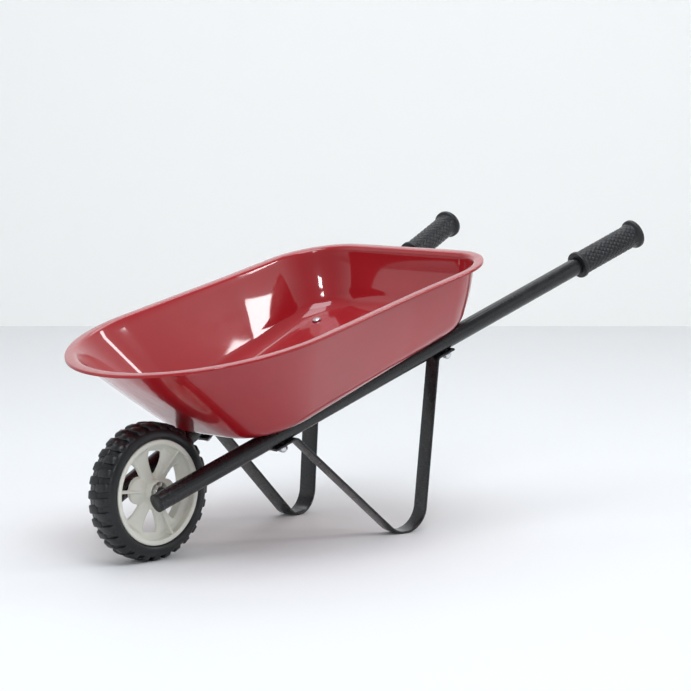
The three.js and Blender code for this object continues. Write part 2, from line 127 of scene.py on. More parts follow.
class WheelProperties(bpy.types.PropertyGroup):
    lugs: bpy.props.IntProperty(
        name="Lugs", description="Cross lugs on each shoulder of the tyre", default=29, min=12, max=60)
    lug_height: bpy.props.FloatProperty(
        name="Lug height", description="How far a lug stands above the tread", default=3.8 * MM,
        min=0.001, max=0.006, unit="LENGTH")
    spokes: bpy.props.IntProperty(
        name="Spokes", description="Spokes of the moulded rim", default=6, min=3, max=12)
    spoke_turn: bpy.props.FloatProperty(
        name="Spoke turn", description="Turn of the first spoke from the forward line",
        default=math.radians(54), unit="ROTATION")
    rim_colour: bpy.props.FloatVectorProperty(
        name="Rim colour", description="Colour of the moulded rim", subtype="COLOR",
        default=(0.73, 0.725, 0.65), min=0, max=1)
    tyre_colour: bpy.props.FloatVectorProperty(
        name="Tyre colour", description="Colour of the tyre", subtype="COLOR",
        default=(0.0045, 0.0049, 0.0058), min=0, max=1)


class StageProperties(bpy.types.PropertyGroup):
    azimuth: bpy.props.FloatProperty(
        name="Azimuth", description="Camera angle round the object", default=math.radians(-45.93),
        unit="ROTATION")
    elevation: bpy.props.FloatProperty(
        name="Elevation", description="Camera angle above the horizon", default=math.radians(6.164),
        unit="ROTATION")
    distance: bpy.props.FloatProperty(
        name="Distance", description="Camera distance from its target", default=3.0375, min=1, max=10,
        unit="LENGTH")
    lens: bpy.props.FloatProperty(
        name="Lens", description="Focal length on a 36 mm sensor", default=126.5, min=20, max=300)
    light: bpy.props.FloatProperty(
        name="Light", description="Strength of the surrounding light", default=0.95, min=0, max=4)
    wall_distance: bpy.props.FloatProperty(
        name="Wall distance", description="From the middle of the object to the wall behind it",
        default=2.5, min=1, max=10, unit="LENGTH")
    floor: bpy.props.FloatVectorProperty(
        name="Floor", description="Colour of the floor", subtype="COLOR", default=(0.80, 0.805, 0.81),
        min=0, max=1)
    wall: bpy.props.FloatVectorProperty(
        name="Wall", description="Colour of the wall", subtype="COLOR", default=(0.84, 0.84, 0.825),
        min=0, max=1)


# ---------------------------------------------------------------- mesh helpers
def new_object(name, vertices, faces, smooth_angle=35):
    """A mesh object at the origin, with its normals made to point outwards."""
    mesh = bpy.data.meshes.new(name)
    mesh.from_pydata([tuple(v) for v in vertices], [], [tuple(f) for f in faces])
    mesh.validate()
    return finish_mesh(link(bpy.data.objects.new(name, mesh)), smooth_angle)


def link(obj):
    bpy.context.scene.collection.objects.link(obj)
    return obj


def finish_mesh(obj, smooth_angle):
    """Merges doubles, turns the faces outwards and sets which edges look sharp."""
    mesh = obj.data
    edit = bmesh.new()
    edit.from_mesh(mesh)
    bmesh.ops.remove_doubles(edit, verts=edit.verts, dist=MERGE_DISTANCE)
    bmesh.ops.recalc_face_normals(edit, faces=edit.faces)
    edit.to_mesh(mesh)
    edit.free()
    mesh.shade_smooth()
    mesh.set_sharp_from_angle(angle=math.radians(smooth_angle))
    return obj


def apply_modifiers(obj, smooth_angle):
    """Turns what the modifiers make into the object's own mesh."""
    evaluated = obj.evaluated_get(bpy.context.evaluated_depsgraph_get())
    mesh = bpy.data.meshes.new_from_object(evaluated)
    old = obj.data
    obj.modifiers.clear()
    obj.data = mesh
    mesh.name = obj.name
    bpy.data.meshes.remove(old)
    mesh.shade_smooth()
    mesh.set_sharp_from_angle(angle=math.radians(smooth_angle))
    return obj


def bevel(obj, width, segments, angle):
    modifier = obj.modifiers.new("Edges", "BEVEL")
    modifier.width = width
    modifier.segments = segments
    modifier.limit_method = "ANGLE"
    modifier.angle_limit = math.radians(angle)
    modifier.harden_normals = False
    return apply_modifiers(obj, 40)


def transform(obj, matrix):
    obj.data.transform(matrix)
    return obj


def give(obj, body, slot, material, *nodes):
    """Hands a finished piece to its body, with its material and the nodes it stands for. The slot argument
    is not used.
    """
    obj.data.materials.clear()
    obj.data.materials.append(material)
    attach(obj, body)
    if nodes:
        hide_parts(*nodes)
    return obj


def lathe(profile, sides, closed=False):
    """Vertices and faces of a profile of (radius, height) turned about +Z."""
    vertices, rings = [], []
    for radius, height in profile:
        if radius < 1e-9:
            rings.append([len(vertices)])
            vertices.append((0, 0, height))
            continue
        rings.append(list(range(len(vertices), len(vertices) + sides)))
        for k in range(sides):
            angle = 2 * math.pi * k / sides
            vertices.append((radius * math.cos(angle), radius * math.sin(angle), height))
    faces = []
    pairs = list(zip(rings, rings[1:]))
    if closed:
        pairs.append((rings[-1], rings[0]))
    for low, high in pairs:
        if len(low) == 1 and len(high) == 1:
            continue
        for k in range(sides):
            n = (k + 1) % sides
            if len(low) == 1:
                faces.append((low[0], high[n], high[k]))
            elif len(high) == 1:
                faces.append((low[k], low[n], high[0]))
            else:
                faces.append((low[k], low[n], high[n], high[k]))
    return vertices, faces


def join_shapes(*shapes):
    vertices, faces = [], []
    for shape_vertices, shape_faces in shapes:
        start = len(vertices)
        vertices += [tuple(v) for v in shape_vertices]
        faces += [tuple(start + i for i in face) for face in shape_faces]
    return vertices, faces


def scaled(shape):
    """A shape in millimetres turned into metres."""
    return [tuple(c * MM for c in v) for v in shape[0]], shape[1]


def turned(shape, matrix):
    return [tuple(matrix @ Vector(v)) for v in shape[0]], shape[1]


def bar_faces(rings, count):
    """Faces of a closed bar whose rings of count vertices follow each other."""
    faces = []
    for start in range(0, (rings - 1) * count, count):
        for k in range(count):
            n = (k + 1) % count
            faces.append((start + k, start + n, start + count + n, start + count + k))
    last = (rings - 1) * count
    return faces + [tuple(reversed(range(count))), tuple(range(last, last + count))]


def rounded(profile, radius, steps):
    """Rounds every inner corner of an open profile of (radius, height) pairs."""
    points = [Vector(p) for p in profile]
    result = [points[0]]
    for before, at, after in zip(points, points[1:], points[2:]):
        back, ahead = before - at, after - at
        reach = min(radius, back.length * 0.45, ahead.length * 0.45)
        start, end = at + back.normalized() * reach, at + ahead.normalized() * reach
        for k in range(steps + 1):
            t = k / steps
            result.append(start * (1 - t) ** 2 + at * 2 * t * (1 - t) + end * t * t)
    result.append(points[-1])
    return [tuple(p) for p in result]


def tube_point(side, x):
    """A point on a handle tube's axis, x millimetres behind the axle."""
    return AXLE + Vector((x, side * (TUBE_SPACING + TUBE_SPLAY * x), TUBE_RISE * x)) * MM


def tube_direction(side):
    return Vector((1, side * TUBE_SPLAY, TUBE_RISE)).normalized()


def along(direction, origin):
    """Turns +Z to a direction, keeps +X level with the ground and moves to an origin."""
    z_axis = direction.normalized()
    y_axis = Vector((0, 0, 1)).cross(z_axis)
    y_axis = y_axis.normalized() if y_axis.length > 1e-6 else Vector((0, 1, 0))
    x_axis = y_axis.cross(z_axis)
    matrix = Matrix((x_axis, y_axis, z_axis)).transposed().to_4x4()
    return Matrix.Translation(origin) @ matrix


def on_axle():
    """Turns +Z to the left along the axle, with +Y up."""
    return Matrix.Translation(AXLE) @ Matrix.Rotation(math.pi / 2, 4, "X")


def bolt_direction(side):
    tube = tube_direction(side)
    square = (Vector((0, 0, 1)) - tube * tube.z).normalized()
    return (square + FLOOR_NORMAL).normalized()


def tube_length(start, end):
    return (end - start) * math.sqrt(1 + TUBE_SPLAY ** 2 + TUBE_RISE ** 2) * MM


# ---------------------------------------------------------------- materials
class Finish:
    """A node material whose pattern is laid on object coordinates."""

    def __init__(self, name):
        self.material = bpy.data.materials.new(name)
        self.material.use_nodes = True
        self.nodes = self.material.node_tree.nodes
        self.links = self.material.node_tree.links
        self.shader = self.nodes["Principled BSDF"]
        self.place = self.nodes.new("ShaderNodeTexCoord").outputs["Object"]

    def set(self, **values):
        for key, value in values.items():
            self.shader.inputs[key.replace("_", " ")].default_value = value
        return self

    def stretch(self, scale):
        mapping = self.nodes.new("ShaderNodeMapping")
        mapping.inputs["Scale"].default_value = scale
        self.links.new(self.place, mapping.inputs["Vector"])
        return mapping.outputs["Vector"]

    def noise(self, scale, detail=3.0, roughness=0.55, stretch=None):
        node = self.nodes.new("ShaderNodeTexNoise")
        node.inputs["Scale"].default_value = scale
        node.inputs["Detail"].default_value = detail
        node.inputs["Roughness"].default_value = roughness
        self.links.new(self.stretch(stretch) if stretch else self.place, node.inputs["Vector"])
        return node.outputs["Fac"]

    def remap(self, value, low, high, to_low, to_high):
        node = self.nodes.new("ShaderNodeMapRange")
        for index, number in enumerate((low, high, to_low, to_high), start=1):
            node.inputs[index].default_value = number
        self.links.new(value, node.inputs[0])
        return node.outputs[0]

    def blend(self, amount, first, second):
        node = self.nodes.new("ShaderNodeMix")
        node.data_type = "RGBA"
        self.links.new(amount, node.inputs[0])
        for socket, value in ((node.inputs[6], first), (node.inputs[7], second)):
            if isinstance(value, bpy.types.NodeSocket):
                self.links.new(value, socket)
            else:
                socket.default_value = (*value[:3], 1)
        return node.outputs[2]

    def edges(self, sharp):
        """How far the surface turns outwards at an edge, from 0 to 1."""
        node = self.nodes.new("ShaderNodeNewGeometry")
        return self.remap(node.outputs["Pointiness"], 0.5, sharp, 0, 1)

    def to(self, value, socket):
        self.links.new(value, self.shader.inputs[socket])
        return self

    def bump(self, *layers):
        """Layers of (height, depth in metres)."""
        normal = None
        for height, depth in layers:
            node = self.nodes.new("ShaderNodeBump")
            node.inputs["Strength"].default_value = 1
            node.inputs["Distance"].default_value = depth
            self.links.new(height, node.inputs["Height"])
            if normal is not None:
                self.links.new(normal, node.inputs["Normal"])
            normal = node.outputs["Normal"]
        self.links.new(normal, self.shader.inputs["Normal"])
        return self


def shade(colour, factor):
    return tuple(min(1.0, c * factor) for c in colour)


def tray_paint(properties):
    """Stoved red gloss: faint orange peel, a soft drift of tone and a few dull handling marks."""
    finish = Finish("Red gloss paint")
    paint = tuple(properties.paint)
    drift = finish.remap(finish.noise(9), 0.3, 0.7, 0, 1)
    colour = finish.blend(drift, shade(paint, 0.93), shade(paint, 1.06))
    wear = finish.edges(0.56)
    chips = finish.remap(finish.noise(420, 4), 0.56, 0.62, 0, 0.5)
    both = finish.nodes.new("ShaderNodeMath")
    both.operation = "MULTIPLY"
    finish.links.new(wear, both.inputs[0])
    finish.links.new(chips, both.inputs[1])
    finish.to(finish.blend(both.outputs[0], colour, shade(paint, 0.35)), "Base Color")
    marks = finish.remap(finish.noise(34, 5, 0.62, (1, 3.2, 1)), 0.45, 0.75, 0, 0.12)
    base = finish.nodes.new("ShaderNodeMath")
    base.operation = "ADD"
    base.inputs[1].default_value = properties.gloss
    finish.links.new(marks, base.inputs[0])
    finish.to(base.outputs[0], "Roughness")
    finish.set(Coat_Weight=1.0, Coat_Roughness=0.045, Coat_IOR=1.58, Specular_IOR_Level=0.12)
    finish.bump((finish.noise(620, 1), 0.006 * MM), (finish.noise(14, 1), 0.10 * MM))
    return finish.material


def powder_coat(properties, name):
    """Black powder coat: fine texture, slightly dusty patches and rubbed edges."""
    finish = Finish(name)
    paint = tuple(properties.paint)
    dust = finish.remap(finish.noise(26, 5), 0.4, 0.72, 0, 1)
    colour = finish.blend(dust, shade(paint, 0.9), shade(paint, 1.5))
    wear = finish.remap(finish.noise(210, 4), 0.5, 0.7, 0, 1)
    rubbed = finish.nodes.new("ShaderNodeMath")
    rubbed.operation = "MULTIPLY"
    finish.links.new(finish.edges(0.6), rubbed.inputs[0])
    finish.links.new(wear, rubbed.inputs[1])
    finish.to(finish.blend(rubbed.outputs[0], colour, (0.06, 0.06, 0.062)), "Base Color")
    low, high = properties.roughness - 0.05, properties.roughness + 0.09
    finish.to(finish.remap(finish.noise(60, 4), 0.3, 0.7, low, high), "Roughness")
    finish.set(Specular_IOR_Level=0.55)
    finish.bump((finish.noise(900, 2), 0.02 * MM), (finish.noise(240, 1), 0.02 * MM))
    return finish.material


def rubber(name, colour, roughness):
    """Black rubber: fine grain, pale dusty bloom and a light wear on raised edges."""
    finish = Finish(name)
    bloom = finish.remap(finish.noise(38, 6, 0.65), 0.42, 0.74, 0, 1)
    base = finish.blend(bloom, shade(colour, 0.85), shade(colour, 1.9))
    finish.to(finish.blend(finish.edges(0.62), base, shade(colour, 2.4)), "Base Color")
    finish.to(finish.remap(finish.noise(90, 4), 0.3, 0.7, roughness - 0.08, roughness + 0.1), "Roughness")
    finish.set(Specular_IOR_Level=0.46)
    finish.bump((finish.noise(1500, 3), 0.05 * MM), (finish.noise(170, 3), 0.08 * MM))
    return finish.material


def rim_plastic(properties):
    """Cream moulded plastic: faint flow marks, painted shade darkening the hollows and corners, and a
    satin skin.
    """
    finish = Finish("Cream moulded plastic")
    cream = tuple(properties.rim_colour)
    flow = finish.remap(finish.noise(24, 4, 0.6, (1, 0.4, 1)), 0.35, 0.7, 0, 1)
    base = finish.blend(flow, shade(cream, 0.965), shade(cream, 1.02))
    node = finish.nodes.new("ShaderNodeNewGeometry")
    # Painted shade: the cream turns darker where the surface curves inwards, in the hollows and corners.
    painted_hollow_shade = finish.remap(node.outputs["Pointiness"], 0.49, 0.42, 0, 0.35)
    finish.to(finish.blend(painted_hollow_shade, base, shade(cream, 0.62)), "Base Color")
    finish.to(finish.remap(finish.noise(130, 3), 0.3, 0.7, 0.36, 0.5), "Roughness")
    finish.set(IOR=1.46, Subsurface_Weight=0.04)
    finish.shader.inputs["Subsurface Scale"].default_value = 0.8 * MM
    finish.bump((finish.noise(1100, 2), 0.012 * MM), (finish.noise(60, 2), 0.05 * MM))
    return finish.material


def zinc_plate():
    """Bright zinc plating: bluish steel with a crystalline drift and dull spots."""
    finish = Finish("Zinc plate")
    drift = finish.remap(finish.noise(300, 4), 0.35, 0.7, 0, 1)
    finish.to(finish.blend(drift, (0.56, 0.58, 0.62), (0.78, 0.79, 0.80)), "Base Color")
    finish.to(finish.remap(finish.noise(520, 3), 0.3, 0.7, 0.18, 0.36), "Roughness")
    finish.set(Metallic=1.0)
    finish.bump((finish.noise(1600, 2), 0.01 * MM))
    return finish.material


def dark_plastic():
    """Dark moulded plastic with a fine spark-eroded texture."""
    finish = Finish("Dark moulded plastic")
    drift = finish.remap(finish.noise(120, 4), 0.35, 0.7, 0, 1)
    finish.to(finish.blend(drift, (0.012, 0.0125, 0.013), (0.024, 0.025, 0.026)), "Base Color")
    finish.to(finish.remap(finish.noise(300, 3), 0.3, 0.7, 0.42, 0.58), "Roughness")
    finish.set(IOR=1.47)
    finish.bump((finish.noise(1800, 2), 0.03 * MM))
    return finish.material


# ---------------------------------------------------------------- geometry nodes
class Tree:
    """A geometry node tree with named inputs that ends in Realize Instances and Set Material."""

    def __init__(self, name, sockets):
        self.tree = bpy.data.node_groups.new(name, "GeometryNodeTree")
        self.ids = {}
        self.socket("Geometry", "NodeSocketGeometry", "INPUT")
        for label, kind, default in sockets:
            made = self.socket(label, kind, "INPUT")
            if default is not None:
                made.default_value = default
            self.ids[label] = made.identifier
        self.ids["Material"] = self.socket("Material", "NodeSocketMaterial", "INPUT").identifier
        self.socket("Geometry", "NodeSocketGeometry", "OUTPUT")
        self.inputs = self.tree.nodes.new("NodeGroupInput").outputs

    def socket(self, label, kind, direction):
        return self.tree.interface.new_socket(name=label, socket_type=kind, in_out=direction)

    def node(self, kind, links=(), **settings):
        made = self.tree.nodes.new(kind)
        for key, value in settings.items():
            setattr(made, key, value)
        for key, value in links:
            if isinstance(value, bpy.types.NodeSocket):
                self.tree.links.new(value, made.inputs[key])
            else:
                made.inputs[key].default_value = value
        return made

    def math(self, operation, first, second=0.0):
        return self.node("ShaderNodeMath", ((0, first), (1, second)), operation=operation).outputs[0]

    def end(self, instances):
        solid = self.node("GeometryNodeRealizeInstances", (("Geometry", instances),)).outputs[0]
        finished = self.node("GeometryNodeSetMaterial",
                             (("Geometry", solid), ("Material", self.inputs["Material"]))).outputs[0]
        output = self.tree.nodes.new("NodeGroupOutput")
        self.tree.links.new(finished, output.inputs[0])
        return self

    def run(self, obj, smooth_angle=40, **values):
        modifier = obj.modifiers.new("Pattern", "NODES")
        modifier.node_group = self.tree
        for label, value in values.items():
            modifier[self.ids[label.replace("_", " ")]] = value
        return apply_modifiers(obj, smooth_angle)


def repeat_tree():
    """Repeats the object's own mesh round its X axis, in rings that are turned and moved on."""
    tree = Tree("Repeat round an axis", (
        ("Around", "NodeSocketInt", 12), ("Rings", "NodeSocketInt", 1),
        ("Pitch", "NodeSocketFloat", 0.0), ("Ring Turn", "NodeSocketFloat", 0.0)))
    around, rings = tree.inputs["Around"], tree.inputs["Rings"]
    count = tree.math("MULTIPLY", around, rings)
    line = tree.node("GeometryNodeMeshLine", (("Count", count), ("Offset", (0, 0, 0))))
    index = tree.node("GeometryNodeInputIndex").outputs[0]
    ring = tree.math("FLOOR", tree.math("DIVIDE", tree.math("ADD", index, 0.5), around))
    step = tree.math("DIVIDE", 2 * math.pi, around)
    angle = tree.math("ADD", tree.math("MULTIPLY", index, step),
                      tree.math("MULTIPLY", ring, tree.inputs["Ring Turn"]))
    offset = tree.node("ShaderNodeCombineXYZ",
                       ((0, tree.math("MULTIPLY", ring, tree.inputs["Pitch"])),)).outputs[0]
    moved = tree.node("GeometryNodeSetPosition", (("Geometry", line.outputs[0]), ("Position", offset)))
    euler = tree.node("ShaderNodeCombineXYZ", ((0, angle),)).outputs[0]
    turn = tree.node("FunctionNodeEulerToRotation", ((0, euler),)).outputs[0]
    return tree.end(tree.node("GeometryNodeInstanceOnPoints", (
        ("Points", moved.outputs[0]), ("Instance", tree.inputs["Geometry"]),
        ("Rotation", turn))).outputs[0])


def fastener_tree():
    """Puts a shape at each vertex of the object, with its +Z turned to the vertex's direction."""
    tree = Tree("Fasteners at points", (
        ("Shape", "NodeSocketObject", None), ("Size", "NodeSocketFloat", 1.0)))
    shape = tree.node("GeometryNodeObjectInfo", (("Object", tree.inputs["Shape"]),)).outputs["Geometry"]
    direction = tree.node("GeometryNodeInputNamedAttribute", (("Name", "direction"),),
                          data_type="FLOAT_VECTOR").outputs[0]
    turn = tree.node("FunctionNodeAlignRotationToVector", (("Vector", direction),), axis="Z").outputs[0]
    points = tree.node("GeometryNodeMeshToPoints", (("Mesh", tree.inputs["Geometry"]),)).outputs[0]
    return tree.end(tree.node("GeometryNodeInstanceOnPoints", (
        ("Points", points), ("Instance", shape), ("Rotation", turn),
        ("Scale", tree.inputs["Size"]))).outputs[0])


# ---------------------------------------------------------------- tray
RIM_HEIGHT, RIM_RISE = 239.53, 0.232
RIM_FRONT, RIM_BACK, RIM_BEND = -70.45, 446.0, 278.8
RIM_HALF_FRONT, RIM_HALF_BACK = 185.8, 171.1
RIM_CORNER_FRONT, RIM_CORNER_BACK, RIM_CORNER_BEND = 177.0, 83.7, 671.0
RIM_LIP, RIM_BEND_REACH = 3.2, 4.0
WALL_BOW = 1.8
FLOOR_FRONT, FLOOR_BACK = 98.3, 429.3
FLOOR_HALF_FRONT, FLOOR_HALF_BACK = 101.3, 136.5
FLOOR_CORNER_FRONT, FLOOR_CORNER_BACK = 70.0, 50.0
FLOOR_HEIGHT = AXLE.z / MM + TUBE_RADIUS / FLOOR_NORMAL.z + GAP + SHEET
OUTLINE_STEPS = (56, 12, 32)
STRAIGHT_STEPS = 6


def round_corner(before, at, after, radius, steps):
    """Points of the arc that rounds a plane corner."""
    back = (before - at) / np.linalg.norm(before - at)
    ahead = (after - at) / np.linalg.norm(after - at)
    half = math.acos(np.clip(back @ ahead, -1, 1)) / 2
    middle = (back + ahead) / np.linalg.norm(back + ahead)
    centre = at + middle * radius / math.sin(half)
    start = at + back * radius / math.tan(half) - centre
    end = at + ahead * radius / math.tan(half) - centre
    first = math.atan2(start[1], start[0])
    sweep = (math.atan2(end[1], end[0]) - first + math.pi) % (2 * math.pi) - math.pi
    angles = first + sweep * np.linspace(0, 1, steps + 1)
    return centre + radius * np.stack([np.cos(angles), np.sin(angles)], 1)


def outline(corners):
    """A closed plan outline from its corners on one side, front middle to back middle."""
    places = [np.array(c[:2], float) for c in corners]
    half = [places[0][None]]
    for i in range(1, len(corners) - 1):
        arc = round_corner(places[i - 1], places[i], places[i + 1], corners[i][2], OUTLINE_STEPS[i - 1])
        straight = np.linspace(half[-1][-1], arc[0], STRAIGHT_STEPS + 1)[1:-1]
        half += [straight, arc]
    half.append(np.linspace(half[-1][-1], places[-1], STRAIGHT_STEPS + 1)[1:])
    side = np.concatenate(half)
    return np.concatenate([side * (1, -1), side[-2:0:-1]])


def rim_outline(inset):
    front, back, at_back = RIM_FRONT + inset, RIM_BACK - inset, RIM_HALF_BACK - inset
    return outline(((front, 0), (front, RIM_HALF_FRONT - inset, RIM_CORNER_FRONT - inset),
                    (RIM_BEND, at_back, RIM_CORNER_BEND), (back, at_back, RIM_CORNER_BACK - inset),
                    (back, 0)))


def floor_outline():
    bend_x = FLOOR_FRONT + (FLOOR_BACK - FLOOR_FRONT) * 0.6
    bend_y = FLOOR_HALF_FRONT + (FLOOR_HALF_BACK - FLOOR_HALF_FRONT) * 0.62
    return outline(((FLOOR_FRONT, 0), (FLOOR_FRONT, FLOOR_HALF_FRONT, FLOOR_CORNER_FRONT),
                    (bend_x, bend_y, 600), (FLOOR_BACK, FLOOR_HALF_BACK, FLOOR_CORNER_BACK),
                    (FLOOR_BACK, 0)))


def raised(points, height, rise):
    return np.column_stack([points, height + rise * points[:, 0]])


def bend_rows(before, at, after, reach, steps):
    """Rows of a smooth bend that leaves a corner line by reach both ways."""
    def towards(there):
        step = there - at
        return at + step / np.linalg.norm(step, axis=1, keepdims=True) * reach
    start, end = towards(before), towards(after)
    return [start * (1 - t) ** 2 + at * 2 * t * (1 - t) + end * t * t
            for t in np.linspace(0, 1, steps + 1)]


def tray_rows(flange, fillet):
    """The sheet's upper surface as rows of points, from the floor out to the lip."""
    floor_line, mouth_line, edge_line = floor_outline(), rim_outline(flange), rim_outline(0)
    ahead = np.roll(floor_line, -1, 0) - np.roll(floor_line, 1, 0)
    ahead /= np.linalg.norm(ahead, axis=1, keepdims=True)
    inwards = np.column_stack([-ahead[:, 1], ahead[:, 0]])
    floor = raised(floor_line, FLOOR_HEIGHT, TUBE_RISE)
    inside = raised(floor_line + inwards, FLOOR_HEIGHT, TUBE_RISE)
    mouth = raised(mouth_line, RIM_HEIGHT, RIM_RISE)
    edge = raised(edge_line, RIM_HEIGHT, RIM_RISE)
    lip = edge - (0, 0, RIM_LIP)
    low = bend_rows(inside, floor, mouth, fillet, 10)
    high = bend_rows(floor, mouth, edge, RIM_BEND_REACH, 5)
    bow = np.column_stack([-inwards * WALL_BOW, np.zeros(len(inwards))])
    wall = [low[-1] + (high[0] - low[-1]) * t + bow * 4 * t * (1 - t)
            for t in np.linspace(0, 1, 13)[1:-1]]
    turn = bend_rows(mouth, edge, lip, RIM_LIP / 2, 4)
    return low + wall + high + turn + [lip]


def tray_shell(flange, fillet):
    rows = np.array(tray_rows(flange, fillet))
    loops = rows.shape[1]
    centre = np.array([(FLOOR_FRONT + FLOOR_BACK) / 2, 0.0])
    middle = raised(centre[None], FLOOR_HEIGHT, TUBE_RISE)
    inner = [middle + (rows[0] - middle) * t for t in (0.25, 0.5, 0.75, 0.93)]
    rows = np.concatenate([np.array(inner), rows])
    count = rows.shape[0]
    top = np.concatenate([rows.reshape(-1, 3), middle])
    apex = len(top) - 1
    faces = [(apex, i, (i + 1) % loops) for i in range(loops)]
    for k in range(count - 1):
        for i in range(loops):
            n = (i + 1) % loops
            faces.append((k * loops + i, (k + 1) * loops + i, (k + 1) * loops + n, k * loops + n))
    mesh = bpy.data.meshes.new("sheet")
    mesh.from_pydata([tuple(p) for p in top], [], faces)
    mesh.update()
    normals = np.array([v.normal for v in mesh.vertices])
    if normals[apex][2] < 0:
        normals = -normals
    bpy.data.meshes.remove(mesh)
    under = top - normals * SHEET
    size = len(top)
    back = [tuple(size + i for i in reversed(face)) for face in faces]
    start = (count - 1) * loops
    seam = [(start + i, size + start + i, size + start + (i + 1) % loops, start + (i + 1) % loops)
            for i in range(loops)]
    vertices = np.concatenate([top, under]) * MM + np.array((AXLE.x, 0, 0))
    return vertices, faces + back + seam


class BARROW_OT_tray(bpy.types.Operator):
    """Build the pressed steel tray"""

    bl_idname = "barrow.tray"
    bl_label = "Tray"

    def execute(self, context):
        properties = context.scene.barrow_tray
        shape = tray_shell(properties.flange / MM, properties.fillet / MM)
        tray = new_object("tray_shell", *shape, smooth_angle=50)
        give(tray, FRAME_BODY, "tray_paint", tray_paint(properties), "tray")
        return {"FINISHED"}


# ---------------------------------------------------------------- handles
TUBE_SIDES, TUBE_STEPS = 72, 24
TUBE_WALL, TUBE_EDGE = 1.5, 0.4
PLUG_FLANGE = 2.2
GRIP_FRONT, GRIP_BACK = 606.3, 705.3
GRIP_RADIUS, GRIP_COLLAR, GRIP_FLANGE = 15.5, 17.5, 19.0
PAD_HEIGHT, PAD_START, PAD_MARGIN = 0.75, 11.5, 1.5
PAD_BASE = GRIP_RADIUS - PAD_HEIGHT


class BARROW_OT_handles(bpy.types.Operator):
    """Build the two handle tubes and their front plugs"""

    bl_idname = "barrow.handles"
    bl_label = "Handle tubes"

    def execute(self, context):
        coat = powder_coat(context.scene.barrow_tube, "Black powder coat")
        plug_finish = dark_plastic()
        length = tube_length(TUBE_FRONT, TUBE_BACK) / MM
        bore, edge = TUBE_RADIUS - TUBE_WALL, TUBE_EDGE
        wall = [(bore, edge), (bore + edge, 0), (TUBE_RADIUS - edge, 0), (TUBE_RADIUS, edge)]
        wall += [(TUBE_RADIUS, length * k / TUBE_STEPS) for k in range(1, TUBE_STEPS)]
        wall += [(TUBE_RADIUS, length - edge), (TUBE_RADIUS - edge, length), (bore, length)]
        for hand, side in SIDES:
            tube = new_object(f"tube_{hand}", *scaled(lathe(wall, TUBE_SIDES, closed=True)))
            transform(tube, along(tube_direction(side), tube_point(side, TUBE_FRONT)))
            give(tube, FRAME_BODY, "tube_paint", coat, f"handle_tube_{hand}")
            shank = bore - GAP
            face = -PLUG_FLANGE - GAP
            profile = [(0, face + 0.5), (4, face + 0.45), (6, face), (TUBE_RADIUS, face),
                       (TUBE_RADIUS, -GAP), (shank, -GAP), (shank, 10), (0, 10)]
            plug = new_object(f"plug_{hand}", *scaled(lathe(rounded(profile, 0.8, 4), TUBE_SIDES)))
            transform(plug, along(tube_direction(side), tube_point(side, TUBE_FRONT)))
            give(plug, FRAME_BODY, "plug_plastic", plug_finish, f"tube_plug_{hand}")
        return {"FINISHED"}


def grip_body():
    """The grip's sleeve about +Z: a collar, a plain barrel under the pads and an end flange."""
    length = tube_length(GRIP_FRONT, GRIP_BACK) / MM
    depth = tube_length(GRIP_FRONT, TUBE_BACK) / MM + GAP
    bore = TUBE_RADIUS + GAP
    outer = [(bore, 0), (GRIP_COLLAR - 0.6, 0), (GRIP_COLLAR, 2.0), (GRIP_COLLAR, 5.2), (GRIP_RADIUS, 6.2),
             (GRIP_RADIUS, 8.4), (PAD_BASE, 9.2), (PAD_BASE, length - 12), (GRIP_RADIUS, length - 11),
             (GRIP_RADIUS, length - 9), (GRIP_FLANGE, length - 6.5), (GRIP_FLANGE, length - 2),
             (GRIP_FLANGE - 3, length), (5, length), (4, length - 0.6), (0, length - 0.6)]
    inner = [(0, depth), (bore, depth), (bore, 0)]
    return scaled(lathe(rounded(outer, 0.9, 4) + inner, TUBE_SIDES))


def grip_pad(length, width, height, radius):
    """One raised lozenge on the barrel, its middle over the X axis at a given radius."""
    ring = [(-0.5, 0), (-0.12, -0.42), (0, -0.5), (0.12, -0.42), (0.5, 0), (0.12, 0.42), (0, 0.5),
            (-0.12, 0.42)]
    vertices = []
    for scale, lift in ((1.0, -0.4 * height), (0.92, 0.45 * height), (0.62, 0.95 * height)):
        for x, y in ring:
            angle = y * scale * width / radius
            reach = radius + lift
            vertices.append((x * scale * length, reach * math.sin(angle), reach * math.cos(angle)))
    return vertices, bar_faces(3, len(ring))


class BARROW_OT_grips(bpy.types.Operator):
    """Build the two rubber grips with their raised lozenge pattern"""

    bl_idname = "barrow.grips"
    bl_label = "Grips"

    def execute(self, context):
        properties = context.scene.barrow_grip
        finish = rubber("Grip rubber", tuple(properties.rubber), 0.38)
        tree = repeat_tree()
        run = tube_length(GRIP_FRONT, GRIP_BACK) / MM - 2 * PAD_START - PAD_MARGIN
        pitch = run / (properties.rings - 1)
        width = 2 * math.pi * PAD_BASE / properties.around
        for hand, side in SIDES:
            place = along(tube_direction(side), tube_point(side, GRIP_FRONT))
            body = new_object(f"grip_sleeve_{hand}", *grip_body(), smooth_angle=40)
            transform(body, place)
            give(body, FRAME_BODY, "grip_rubber", finish, f"grip_{hand}")
            pad = scaled(grip_pad(pitch * 1.9, width * 0.93, PAD_HEIGHT, PAD_BASE))
            pads = new_object(f"grip_pads_{hand}", *pad, smooth_angle=30)
            tree.run(pads, Around=properties.around, Rings=properties.rings, Pitch=pitch * MM,
                     Ring_Turn=math.pi / properties.around, Material=finish)
            to_z = Matrix.Translation((0, 0, PAD_START * MM)) @ Matrix.Rotation(-math.pi / 2, 4, "Y")
            transform(pads, place @ to_z)
            give(pads, FRAME_BODY, "grip_rubber", finish)
        return {"FINISHED"}


